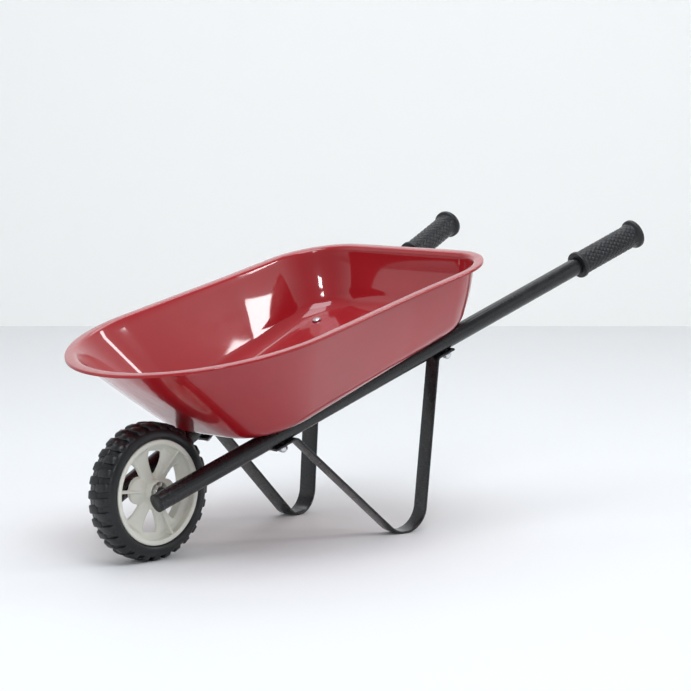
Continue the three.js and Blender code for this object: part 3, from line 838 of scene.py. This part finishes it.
# ---------------------------------------------------------------- legs
LEG_WIDTH, LEG_THICKNESS = 23.6, 3.0
LEG_TAB_FRONT, LEG_KNEE_FRONT, LEG_KNEE_BACK, LEG_TAB_BACK = 137.8, 168.0, 376.8, 401.3
LEG_FOOT_X, LEG_FOOT_RADIUS, LEG_FOOT_FLAT = 328.8, 31.4, math.radians(7)
LEG_KNEE_RADIUS = 5.5
LEG_INSET, LEG_LEAN = 1.6, 0.012


def leg_path():
    """The strap's middle line in the upright plane of its tube: x from the axle, height."""
    under = AXLE.z / MM - (TUBE_RADIUS + GAP + LEG_THICKNESS / 2) / FLOOR_NORMAL.z

    def tab(x):
        return np.array([x, under + TUBE_RISE * x])

    centre = np.array([LEG_FOOT_X, LEG_THICKNESS / 2 + LEG_FOOT_RADIUS * math.cos(LEG_FOOT_FLAT)])
    knee_front, knee_back = tab(LEG_KNEE_FRONT), tab(LEG_KNEE_BACK)

    def tangent(knee, sign):
        step = knee - centre
        reach = math.acos(LEG_FOOT_RADIUS / np.linalg.norm(step))
        return math.atan2(step[1], step[0]) + sign * reach

    def arc(start, end, steps):
        angles = np.linspace(start, end, steps + 1)
        return centre + LEG_FOOT_RADIUS * np.stack([np.cos(angles), np.sin(angles)], 1)

    down = 1.5 * math.pi
    start, end = tangent(knee_front, 1), tangent(knee_back, -1) + 2 * math.pi
    foot = np.concatenate([arc(start, down - LEG_FOOT_FLAT, 10), arc(down + LEG_FOOT_FLAT, end, 22)])
    front = round_corner(tab(LEG_TAB_FRONT), knee_front, foot[0], LEG_KNEE_RADIUS, 8)
    back = round_corner(foot[-1], knee_back, tab(LEG_TAB_BACK), LEG_KNEE_RADIUS, 8)
    return np.concatenate([[tab(LEG_TAB_FRONT)], front, foot, back, [tab(LEG_TAB_BACK)]])


def strap_section():
    """Corners of the strap's rounded cross section: across, and through its thickness."""
    half_width, half = LEG_WIDTH / 2, LEG_THICKNESS / 2
    edge = 1.0
    section = []
    for cx, cy, turn in ((half_width - edge, half - edge, 0), (edge - half_width, half - edge, 1),
                         (edge - half_width, edge - half, 2), (half_width - edge, edge - half, 3)):
        for k in range(5):
            angle = (turn + k / 4) * math.pi / 2
            section.append((cx + edge * math.cos(angle), cy + edge * math.sin(angle)))
    return section


def leg_shape(side):
    path = leg_path()
    ahead = np.gradient(path, axis=0)
    first, last = path[1] - path[0], path[-1] - path[-2]
    ahead[0], ahead[-1] = first, last
    steps = np.diff(path, axis=0)
    steps /= np.linalg.norm(steps, axis=1, keepdims=True)
    ahead[1:-1] = steps[:-1] + steps[1:]
    ahead /= np.linalg.norm(ahead, axis=1, keepdims=True)
    plan = Vector((1, side * TUBE_SPLAY, 0))
    across = Vector((-side * TUBE_SPLAY, 1, 0)).normalized()
    section = strap_section()
    vertices = []
    for (x, z), (dx, dz) in zip(path, ahead):
        for wide, thick in section:
            nx, nz = -dz * thick, dx * thick
            base = plan * x + Vector((0, side * (TUBE_SPACING - LEG_INSET), 0))
            offset = plan.normalized() * nx + Vector((0, 0, nz)) + across * wide
            point = base + offset + Vector((0, 0, z))
            point.y -= side * LEG_LEAN * (AXLE.z / MM + TUBE_RISE * point.x - point.z)
            vertices.append((point.x * MM + AXLE.x, point.y * MM, point.z * MM))
    return vertices, bar_faces(len(path), len(section))


class BARROW_OT_legs(bpy.types.Operator):
    """Build the two bent strap legs"""

    bl_idname = "barrow.legs"
    bl_label = "Legs"

    def execute(self, context):
        coat = powder_coat(context.scene.barrow_tube, "Black powder coat on straps")
        for hand, side in SIDES:
            strap = new_object(f"leg_strap_{hand}", *leg_shape(side), smooth_angle=50)
            give(strap, FRAME_BODY, "leg_paint", coat, f"leg_{hand}")
        return {"FINISHED"}


# ---------------------------------------------------------------- fasteners
HEAD_SEAT = TUBE_RADIUS + GAP + SHEET + 2 * GAP
WASHER_TOP = -(TUBE_RADIUS + GAP + LEG_THICKNESS + GAP)
WASHER_THICKNESS, WASHER_RADIUS = 1.2, 6.2
NUT_TOP = WASHER_TOP - WASHER_THICKNESS - GAP
NUT_HEIGHT, NUT_FLATS, BOLT_RADIUS, BOLT_TIP = 5.0, 10.0, 3.0, 2.0
HEAD_RADIUS, HEAD_HEIGHT = 6.0, 3.2


def bolt_shape():
    """A domed bolt about +Z with thread ridges below its nut."""
    tip = NUT_TOP - NUT_HEIGHT - BOLT_TIP
    profile = [(0, tip), (BOLT_RADIUS - 0.7, tip), (BOLT_RADIUS - 0.1, tip + 0.6)]
    for k in range(14):
        profile += [(BOLT_RADIUS, tip + 0.7 + k), (BOLT_RADIUS - 0.35, tip + 1.2 + k)]
    profile += [(BOLT_RADIUS, tip + 15), (BOLT_RADIUS, HEAD_SEAT), (HEAD_RADIUS - 0.3, HEAD_SEAT),
                (HEAD_RADIUS, HEAD_SEAT + 0.3)]
    for k in range(1, 9):
        angle = k / 8 * math.pi / 2
        rise = HEAD_SEAT + 0.6 + (HEAD_HEIGHT - 0.6) * math.sin(angle)
        profile.append((HEAD_RADIUS * math.cos(angle) if k < 8 else 0, rise))
    return scaled(lathe(profile, 40))


def washer_shape():
    low, bore = WASHER_TOP - WASHER_THICKNESS, BOLT_RADIUS + GAP
    profile = [(bore, low), (WASHER_RADIUS - 0.2, low), (WASHER_RADIUS, low + 0.2),
               (WASHER_RADIUS, WASHER_TOP - 0.3), (WASHER_RADIUS - 0.3, WASHER_TOP), (bore, WASHER_TOP)]
    return scaled(lathe(profile, 40, closed=True))


def nut_shape():
    """A hexagon nut with cone-chamfered faces and a countersunk thread."""
    across, sides = NUT_FLATS / 2, 48
    bore = BOLT_RADIUS + 0.12
    low = NUT_TOP - NUT_HEIGHT

    def reach(angle):
        return across / math.cos((angle + math.pi / 6) % (math.pi / 3) - math.pi / 6)

    rings = []
    for height, limit in ((low, across * 0.97), (low + 0.5, None), (NUT_TOP - 0.5, None),
                          (NUT_TOP, across * 0.97)):
        ring = []
        for k in range(sides):
            angle = 2 * math.pi * k / sides
            radius = reach(angle)
            if limit is not None:
                radius = min(radius, limit)
            ring.append((radius * math.cos(angle), radius * math.sin(angle), height))
        rings.append(ring)
    for height, radius in ((NUT_TOP, bore + 0.5), (NUT_TOP - 0.5, bore), (low + 0.5, bore),
                           (low, bore + 0.5)):
        rings.append([(radius * math.cos(2 * math.pi * k / sides),
                       radius * math.sin(2 * math.pi * k / sides), height) for k in range(sides)])
    vertices = [p for ring in rings for p in ring]
    faces, total = [], len(rings)
    for r in range(total):
        for k in range(sides):
            n, s = (k + 1) % sides, (r + 1) % total
            faces.append((r * sides + k, r * sides + n, s * sides + n, s * sides + k))
    return scaled((vertices, faces))


class BARROW_OT_fasteners(bpy.types.Operator):
    """Put the bolts, washers and nuts through the tray, tubes and legs"""

    bl_idname = "barrow.fasteners"
    bl_label = "Fasteners"

    def execute(self, context):
        tree = fastener_tree()
        finish = zinc_plate()
        places, directions = [], []
        for _, side in SIDES:
            for x in BOLT_X:
                places.append(tube_point(side, x))
                directions.append(bolt_direction(side))
        for name, node, shape in (("tray_bolts", "tray_bolt", bolt_shape()),
                                  ("bolt_washers", "bolt_washer", washer_shape()),
                                  ("bolt_nuts", "bolt_nut", nut_shape())):
            pattern = new_object(f"{name}_shape", *shape, smooth_angle=28)
            mesh = bpy.data.meshes.new(name)
            mesh.from_pydata([tuple(p) for p in places], [], [])
            attribute = mesh.attributes.new("direction", "FLOAT_VECTOR", "POINT")
            for item, direction in zip(attribute.data, directions):
                item.vector = direction
            piece = link(bpy.data.objects.new(name, mesh))
            tree.run(piece, 28, Shape=pattern, Size=1.0, Material=finish)
            bpy.data.objects.remove(pattern)
            nodes = [f"{node}_{hand}_{row}" for hand, _ in SIDES for row in ROWS]
            give(piece, FRAME_BODY, "fastener_steel", finish, *nodes)
        return {"FINISHED"}


# ---------------------------------------------------------------- wheel
WHEEL_RADIUS = AXLE.z / MM
RIM_EDGE, RIM_HALF = 61.8, 18.4
TYRE_SEAT, TYRE_HALF = RIM_EDGE - 2.4, 19.4
TREAD_HALF = 12.2
HUB_RADIUS, HUB_HALF, HUB_BORE, HUB_WEB = 14.5, 20.0, 12.4, 21.0
PADDLE_HALF, PADDLE_REACH, PADDLE_EDGE, PADDLE_RIDGE = 15.0, 20.0, 6.6, 12.6
SPOKE_BACK, SPOKE_END, SPOKE_HALF, RIDGE_HALF = 2.4, 57.5, 8.3, 1.5
FIN_HALF, FIN_TOP, SEAM_TOP = 1.3, RIM_HALF - 1.2, 13.6
WEB_INNER = 47.5
AXLE_RADIUS = 4.0
BUSH_SEAT = 6.7
WHEEL_SIDES = 192


def tyre_shape(lug_height):
    """The tyre's carcass about +Z: a bead at the rim, a smooth sidewall and a crowned tread."""
    tread = WHEEL_RADIUS - lug_height
    half = [(TYRE_SEAT, RIM_HALF - 4), (RIM_EDGE + GAP, RIM_HALF - 3), (RIM_EDGE + GAP, TYRE_HALF - 2.4),
            (RIM_EDGE + 1.6, TYRE_HALF - 1.2), (64.6, TYRE_HALF - 0.4), (66, TYRE_HALF),
            (69, TYRE_HALF - 0.2), (72.5, TYRE_HALF - 1.4), (75.2, TYRE_HALF - 3.6),
            (tread - 0.4, TREAD_HALF), (tread + 0.5, TREAD_HALF - 3),
            (WHEEL_RADIUS - 1.7, TREAD_HALF - 7), (WHEEL_RADIUS - 1.3, 2)]
    half = rounded(half, 2.2, 4)
    below = [(radius, -height) for radius, height in half]
    profile = below + half[::-1]
    return scaled(lathe(profile, WHEEL_SIDES, closed=True))


def lug_shape(lug_height):
    """One cross lug over the X axis: a long tapered bar that wraps down the shoulder."""
    top = WHEEL_RADIUS
    low = top - lug_height - 1.2
    stations = ((-1.6, low, top - 0.9, 4.4, 0.0), (0.2, low, top, 5.2, 0.0),
                (TREAD_HALF * 0.55, low, top, 5.3, 0.4), (TREAD_HALF, low - 0.6, top - 0.5, 5.2, 0.8),
                (TREAD_HALF + 2.4, low - 2.0, top - 1.9, 4.9, 1.1),
                (TREAD_HALF + 4.4, low - 4.4, top - 4.4, 4.4, 1.3),
                (TREAD_HALF + 5.3, low - 7.6, top - 8.4, 3.4, 1.4))
    vertices = []
    for across, bottom, crest, width, lean in stations:
        half = ((1.0, bottom), (1.0, crest - 1.5), (0.92, crest - 0.55), (0.7, crest))
        ring = half + tuple((-spread, height) for spread, height in reversed(half))
        vertices += [(across, lean + spread * width, height) for spread, height in ring]
    return scaled((vertices, bar_faces(len(stations), len(ring))))


class BARROW_OT_tyre(bpy.types.Operator):
    """Build the tyre and its two rows of cross lugs"""

    bl_idname = "barrow.tyre"
    bl_label = "Tyre"

    def execute(self, context):
        properties = context.scene.barrow_wheel
        height = properties.lug_height / MM
        finish = rubber("Tyre rubber", tuple(properties.tyre_colour), 0.36)
        carcass = new_object("tyre_carcass", *tyre_shape(height), smooth_angle=50)
        transform(carcass, on_axle())
        give(carcass, WHEEL_BODY, "tyre_rubber", finish, "tyre")
        tree = repeat_tree()
        for name, flip in (("left", 0), ("right", math.pi)):
            lugs = new_object(f"tyre_lugs_{name}", *lug_shape(height), smooth_angle=30)
            bevel(lugs, 0.3 * MM, 2, 40)
            tree.run(lugs, 35, Around=properties.lugs, Rings=1, Pitch=0.0, Ring_Turn=0.0, Material=finish)
            stagger = 0 if flip else math.pi / properties.lugs
            turn = Matrix.Rotation(flip, 4, "Z") @ Matrix.Rotation(stagger, 4, "X")
            to_axle = Matrix.Translation(AXLE) @ Matrix.Rotation(-math.pi / 2, 4, "Z")
            transform(lugs, to_axle @ turn)
            give(lugs, WHEEL_BODY, "tyre_rubber", finish)
        return {"FINISHED"}


def prism(section, start, end):
    """A bar along +X from its (across, height) section, scaled by (across, height) at each end."""
    (x0, wide0, tall0), (x1, wide1, tall1) = start, end
    vertices = [(x0, y * wide0, z * tall0) for y, z in section]
    vertices += [(x1, y * wide1, z * tall1) for y, z in section]
    return vertices, bar_faces(2, len(section))


def rim_solids(spokes, turn):
    """Closed solids of the moulded rim about +Z, its ribbed face at +Z."""
    barrel = [(57.6, -RIM_HALF + 1), (59.3, -RIM_HALF), (RIM_EDGE, -RIM_HALF), (RIM_EDGE, -RIM_HALF + 2.6),
              (RIM_EDGE - 2.7, -RIM_HALF + 3.6), (RIM_EDGE - 2.7, RIM_HALF - 3.6),
              (RIM_EDGE, RIM_HALF - 2.6), (RIM_EDGE, RIM_HALF - 0.8), (RIM_EDGE - 0.8, RIM_HALF),
              (56.6, RIM_HALF), (55.8, RIM_HALF - 1), (55.6, RIM_HALF - 3.4), (56.9, RIM_HALF - 3.8),
              (56.6, 0)]
    shapes = [lathe(barrel, WHEEL_SIDES, closed=True)]
    paddle_roof = [(-PADDLE_HALF, PADDLE_EDGE), (-RIDGE_HALF, PADDLE_RIDGE), (RIDGE_HALF, PADDLE_RIDGE),
                   (PADDLE_HALF, PADDLE_EDGE), (PADDLE_HALF, SPOKE_BACK), (-PADDLE_HALF, SPOKE_BACK)]
    roof = [(-SPOKE_HALF, 6.8), (-5, 8.6), (5, 8.6), (SPOKE_HALF, 6.8), (SPOKE_HALF, SPOKE_BACK),
            (-SPOKE_HALF, SPOKE_BACK)]
    fin = [(-FIN_HALF, FIN_TOP), (FIN_HALF, FIN_TOP), (FIN_HALF, SPOKE_BACK), (-FIN_HALF, SPOKE_BACK)]
    seam = [(-FIN_HALF, SEAM_TOP), (FIN_HALF, SEAM_TOP), (FIN_HALF, 6), (-FIN_HALF, 6)]
    broad = ((4, 1.0), (22, 1.0), (30, 1.04), (36, 1.16), (41, 1.38), (44.5, 1.66), (47, 2.0), (49.5, 2.5))
    # Every third spoke is wide with a round end, and a few of the others carry a fin.
    for k in range(spokes):
        spin = Matrix.Rotation(turn + 2 * math.pi * k / spokes, 4, "Z")
        if k % 3 == 2:
            shapes.append(turned(prism(paddle_roof, (4, 1, 1), (PADDLE_REACH, 1, 1)), spin))
            shapes.append(turned(round_end(), spin))
            shapes.append(turned(prism(seam, (12, 1, 1), (PADDLE_REACH + 13.5, 1, 0.86)), spin))
            shapes.append(turned(prism(fin, (PADDLE_REACH + 12, 1, 0.72), (SPOKE_END, 1, 1)), spin))
        else:
            for (x0, wide0), (x1, wide1) in zip(broad, broad[1:]):
                shapes.append(turned(prism(roof, (x0, wide0, 1), (x1 + 0.05, wide1, 1)), spin))
            if k % 4 == 0:
                shapes.append(turned(prism(fin, (24, 0.8, 0.62), (SPOKE_END, 1, 1)), spin))
    ring = [(WEB_INNER, SPOKE_BACK), (SPOKE_END, SPOKE_BACK), (SPOKE_END, 9.6), (WEB_INNER + 3, 7.6),
            (WEB_INNER, 6.4)]
    shapes.append(lathe(ring, WHEEL_SIDES, closed=True))
    hub_wall = [(HUB_BORE, 3), (HUB_RADIUS, 3), (HUB_RADIUS, HUB_HALF - 0.5), (HUB_RADIUS - 0.5, HUB_HALF),
                (HUB_BORE + 0.3, HUB_HALF), (HUB_BORE, HUB_HALF - 0.3)]
    shapes.append(lathe(hub_wall, 96, closed=True))
    sleeve = [(BUSH_SEAT, -HUB_HALF), (8.2, -HUB_HALF), (8.2, HUB_HALF - 0.4), (BUSH_SEAT, HUB_HALF - 0.4)]
    shapes.append(lathe(sleeve, 96, closed=True))
    web = [(BUSH_SEAT, 1.4), (HUB_WEB, 1.4), (HUB_WEB, 5.4), (HUB_RADIUS, 8.5), (BUSH_SEAT, 8.5)]
    shapes.append(lathe(web, 96, closed=True))
    rear = [(BUSH_SEAT, -HUB_HALF), (HUB_RADIUS, -HUB_HALF), (HUB_RADIUS, 3), (BUSH_SEAT, 3)]
    shapes.append(lathe(rear, 96, closed=True))
    rib = [(-0.8, 5), (-0.8, HUB_HALF - 1.2), (0.8, HUB_HALF - 1.2), (0.8, 5)]
    for k in range(8):
        spin = Matrix.Rotation(2 * math.pi * (k + 0.5) / 8, 4, "Z")
        shapes.append(turned(prism(rib, (7.4, 1, 1), (13.2, 1, 1)), spin))
    return join_shapes(*shapes)


def round_end():
    """The round outer end of a wide spoke: a low cone with a flat top."""
    profile = [(0, SPOKE_BACK), (PADDLE_HALF, SPOKE_BACK), (PADDLE_HALF, PADDLE_EDGE),
               (RIDGE_HALF, PADDLE_RIDGE), (0, PADDLE_RIDGE)]
    vertices, faces = lathe(profile, 64)
    return [(x + PADDLE_REACH, y, z) for x, y, z in vertices], faces


class BARROW_OT_rim(bpy.types.Operator):
    """Build the moulded rim with its six spokes and its hub"""

    bl_idname = "barrow.rim"
    bl_label = "Rim"

    def execute(self, context):
        properties = context.scene.barrow_wheel
        shape = scaled(rim_solids(properties.spokes, properties.spoke_turn))
        rim = new_object("spoked_rim", *shape)
        remesh = rim.modifiers.new("Moulding", "REMESH")
        remesh.mode = "VOXEL"
        remesh.voxel_size = 0.75 * MM
        soften = rim.modifiers.new("Soften", "SMOOTH")
        soften.factor = 0.5
        soften.iterations = 3
        apply_modifiers(rim, 180)
        transform(rim, on_axle())
        give(rim, WHEEL_BODY, "rim_plastic", rim_plastic(properties), "wheel_rim")
        return {"FINISHED"}


class BARROW_OT_axle(bpy.types.Operator):
    """Build the axle rod, its bushes, spacers, washers and clips"""

    bl_idname = "barrow.axle"
    bl_label = "Axle"

    def execute(self, context):
        steel, plastic = zinc_plate(), dark_plastic()
        rod = [(0, -41), (AXLE_RADIUS, -41), (AXLE_RADIUS, 41), (0, 41)]
        piece = new_object("axle_bar", *scaled(lathe(rounded(rod, 0.6, 3), 64)))
        give(transform(piece, on_axle()), FRAME_BODY, "fastener_steel", steel, "axle_rod")
        rings = (("hub_bush", WHEEL_BODY, "bush_plastic", plastic, 6.0, 20.0, 6.4),
                 ("axle_washer", FRAME_BODY, "fastener_steel", steel, 20.3, 21.6, 8.0),
                 ("axle_spacer", FRAME_BODY, "bush_plastic", plastic, 21.9, 26.8, 6.5),
                 ("axle_clip", FRAME_BODY, "fastener_steel", steel, 34.2, 35.6, 5.8))
        for name, body, slot, material, near, far, radius in rings:
            for hand, side in SIDES:
                low, high = (near, far) if side < 0 else (-far, -near)
                bore, edge = AXLE_RADIUS + GAP, 0.25
                profile = [(bore, low), (radius - edge, low), (radius, low + edge), (radius, high - edge),
                           (radius - edge, high), (bore, high)]
                ring = new_object(f"{name}_ring_{hand}", *scaled(lathe(profile, 64, closed=True)))
                give(transform(ring, on_axle()), body, slot, material, f"{name}_{hand}")
        return {"FINISHED"}


# ---------------------------------------------------------------- stage
def plane(name, corners, material):
    mesh = bpy.data.meshes.new(name)
    mesh.from_pydata(corners, [], [tuple(range(len(corners)))])
    mesh.materials.append(material)
    obj = link(bpy.data.objects.new(name, mesh))
    return obj


def paper(name, colour, glow=0.0):
    finish = Finish(name)
    drift = finish.remap(finish.noise(1.5, 2), 0.3, 0.7, 0, 1)
    finish.to(finish.blend(drift, shade(colour, 0.995), colour), "Base Color")
    finish.set(Roughness=0.6, Specular_IOR_Level=0.2, Emission_Strength=glow)
    finish.shader.inputs["Emission Color"].default_value = (*colour, 1)
    return finish.material


def area_light(name, location, target, size, power, colour):
    light = bpy.data.lights.new(name, "AREA")
    light.shape = "RECTANGLE"
    light.size, light.size_y = size
    light.energy = power
    light.color = colour
    obj = link(bpy.data.objects.new(name, light))
    obj.location = location
    obj.rotation_euler = (Vector(target) - Vector(location)).to_track_quat("-Z", "Y").to_euler()
    return obj


def studio_world(strength, level):
    """Surrounding light: bright round the horizon, dimmer overhead and dim on the camera's side."""
    world = bpy.data.worlds.new("Studio")
    world.use_nodes = True
    nodes, links = world.node_tree.nodes, world.node_tree.links
    direction = nodes.new("ShaderNodeTexCoord").outputs["Generated"]

    def ramp(axis, stops):
        along_axis = nodes.new("ShaderNodeVectorMath")
        along_axis.operation = "DOT_PRODUCT"
        along_axis.inputs[1].default_value = axis
        links.new(direction, along_axis.inputs[0])
        node = nodes.new("ShaderNodeValToRGB")
        for element, (position, colour) in zip(node.color_ramp.elements, stops):
            element.position = position
            element.color = (*colour, 1)
        links.new(along_axis.outputs["Value"], node.inputs["Fac"])
        return node.outputs["Color"]

    sky = ramp((0, 0, 1), ((0.40, (0.97, 0.985, 1.0)), (0.62, (0.42, 0.43, 0.45))))
    shade_side = ramp(level, ((0.25, (1, 1, 1)), (0.8, (0.38, 0.39, 0.41))))
    both = nodes.new("ShaderNodeVectorMath")
    both.operation = "MULTIPLY"
    links.new(sky, both.inputs[0])
    links.new(shade_side, both.inputs[1])
    links.new(both.outputs["Vector"], nodes["Background"].inputs["Color"])
    nodes["Background"].inputs["Strength"].default_value = strength
    return world


def heading(azimuth, elevation, distance):
    """A point seen from the tray in a direction: azimuth from +Y towards +X, and elevation."""
    a, e = math.radians(azimuth), math.radians(elevation)
    return Vector((math.sin(a) * math.cos(e), math.cos(a) * math.cos(e), math.sin(e))) * distance


class BARROW_OT_stage(bpy.types.Operator):
    """Build the floor, the lights and the camera"""

    bl_idname = "barrow.stage"
    bl_label = "Stage"

    def execute(self, context):
        properties = context.scene.barrow_stage
        target = Vector((0.01285, 0.0, 0.2248))
        a, e = properties.azimuth, properties.elevation
        back = Vector((math.sin(a) * math.cos(e), -math.cos(a) * math.cos(e), math.sin(e)))
        level = Vector((back.x, back.y, 0)).normalized()
        across = Vector((-level.y, level.x, 0))
        reach, wall_height = 12.0, 9.0
        foot = -level * properties.wall_distance
        near, wide = level * reach, across * reach
        plane("floor", [foot - wide, foot + wide, near + wide, near - wide],
              paper("Pale floor", tuple(properties.floor)))
        rise = Vector((0, 0, wall_height))
        plane("backdrop", [foot - wide, foot + wide, foot + wide + rise, foot - wide + rise],
              paper("Pale wall", tuple(properties.wall), 0.16))
        context.scene.world = studio_world(properties.light, level)
        context.scene.view_settings.view_transform = "Standard"
        tray = Vector((0, 0, 0.28))
        for name, location, size, power, colour in (
                ("overhead", Vector((-0.1, -0.1, 3.0)), (1.5, 1.5), 24, (0.92, 0.965, 1.0)),
                ("sky_window", tray + heading(232, 60, 3.0), (2.2, 1.2), 44, (0.88, 0.94, 1.0)),
                ("back_fill", Vector((1.2, 1.2, 2.7)), (2.4, 0.8), 12, (0.95, 0.98, 1.0)),
                ("side_window", tray + heading(134, 29, 3.0), (0.42, 0.5), 10, (0.97, 0.99, 1.0)),
                ("far_window", tray + heading(107, 34, 3.0), (0.2, 0.5), 3.2, (0.97, 0.99, 1.0)),
                ("front_lamp", Vector((-2.76, -2.48, 1.75)), (0.5, 0.5), 18, (1.0, 1.0, 1.0))):
            area_light(name, location, target, size, power, colour)
        camera = bpy.data.cameras.new("camera")
        camera.lens = properties.lens
        camera.sensor_width = 36
        obj = link(bpy.data.objects.new("camera", camera))
        obj.location = target + back * properties.distance
        obj.rotation_mode = "QUATERNION"
        obj.rotation_quaternion = (-back).to_track_quat("-Z", "Y")
        camera.clip_start, camera.clip_end = 0.05, 200
        context.scene.camera = obj
        return {"FINISHED"}


# ---------------------------------------------------------------- panel
OPERATORS = (BARROW_OT_tray, BARROW_OT_handles, BARROW_OT_grips, BARROW_OT_legs, BARROW_OT_fasteners,
             BARROW_OT_tyre, BARROW_OT_rim, BARROW_OT_axle, BARROW_OT_stage)
PROPERTIES = (("barrow_tray", TrayProperties), ("barrow_tube", TubeProperties),
              ("barrow_grip", GripProperties), ("barrow_wheel", WheelProperties),
              ("barrow_stage", StageProperties))


class BARROW_PT_panel(bpy.types.Panel):
    """Sizes, colours and build steps of the barrow"""

    bl_idname = "BARROW_PT_panel"
    bl_label = "Barrow"
    bl_space_type = "VIEW_3D"
    bl_region_type = "UI"
    bl_category = "Barrow"

    def draw(self, context):
        for attribute, group in PROPERTIES:
            box = self.layout.box()
            for name in group.__annotations__:
                box.prop(getattr(context.scene, attribute), name)
        for operator in OPERATORS:
            self.layout.operator(operator.bl_idname)


def register():
    for attribute, group in PROPERTIES:
        bpy.utils.register_class(group)
        setattr(bpy.types.Scene, attribute, bpy.props.PointerProperty(type=group))
    for operator in OPERATORS:
        bpy.utils.register_class(operator)
    bpy.utils.register_class(BARROW_PT_panel)


def unregister():
    bpy.utils.unregister_class(BARROW_PT_panel)
    for operator in reversed(OPERATORS):
        bpy.utils.unregister_class(operator)
    for attribute, group in reversed(PROPERTIES):
        delattr(bpy.types.Scene, attribute)
        bpy.utils.unregister_class(group)


def main():
    register()
    for operator in OPERATORS:
        category, name = operator.bl_idname.split(".")
        getattr(getattr(bpy.ops, category), name)()


if __name__ == "__main__":
    main()
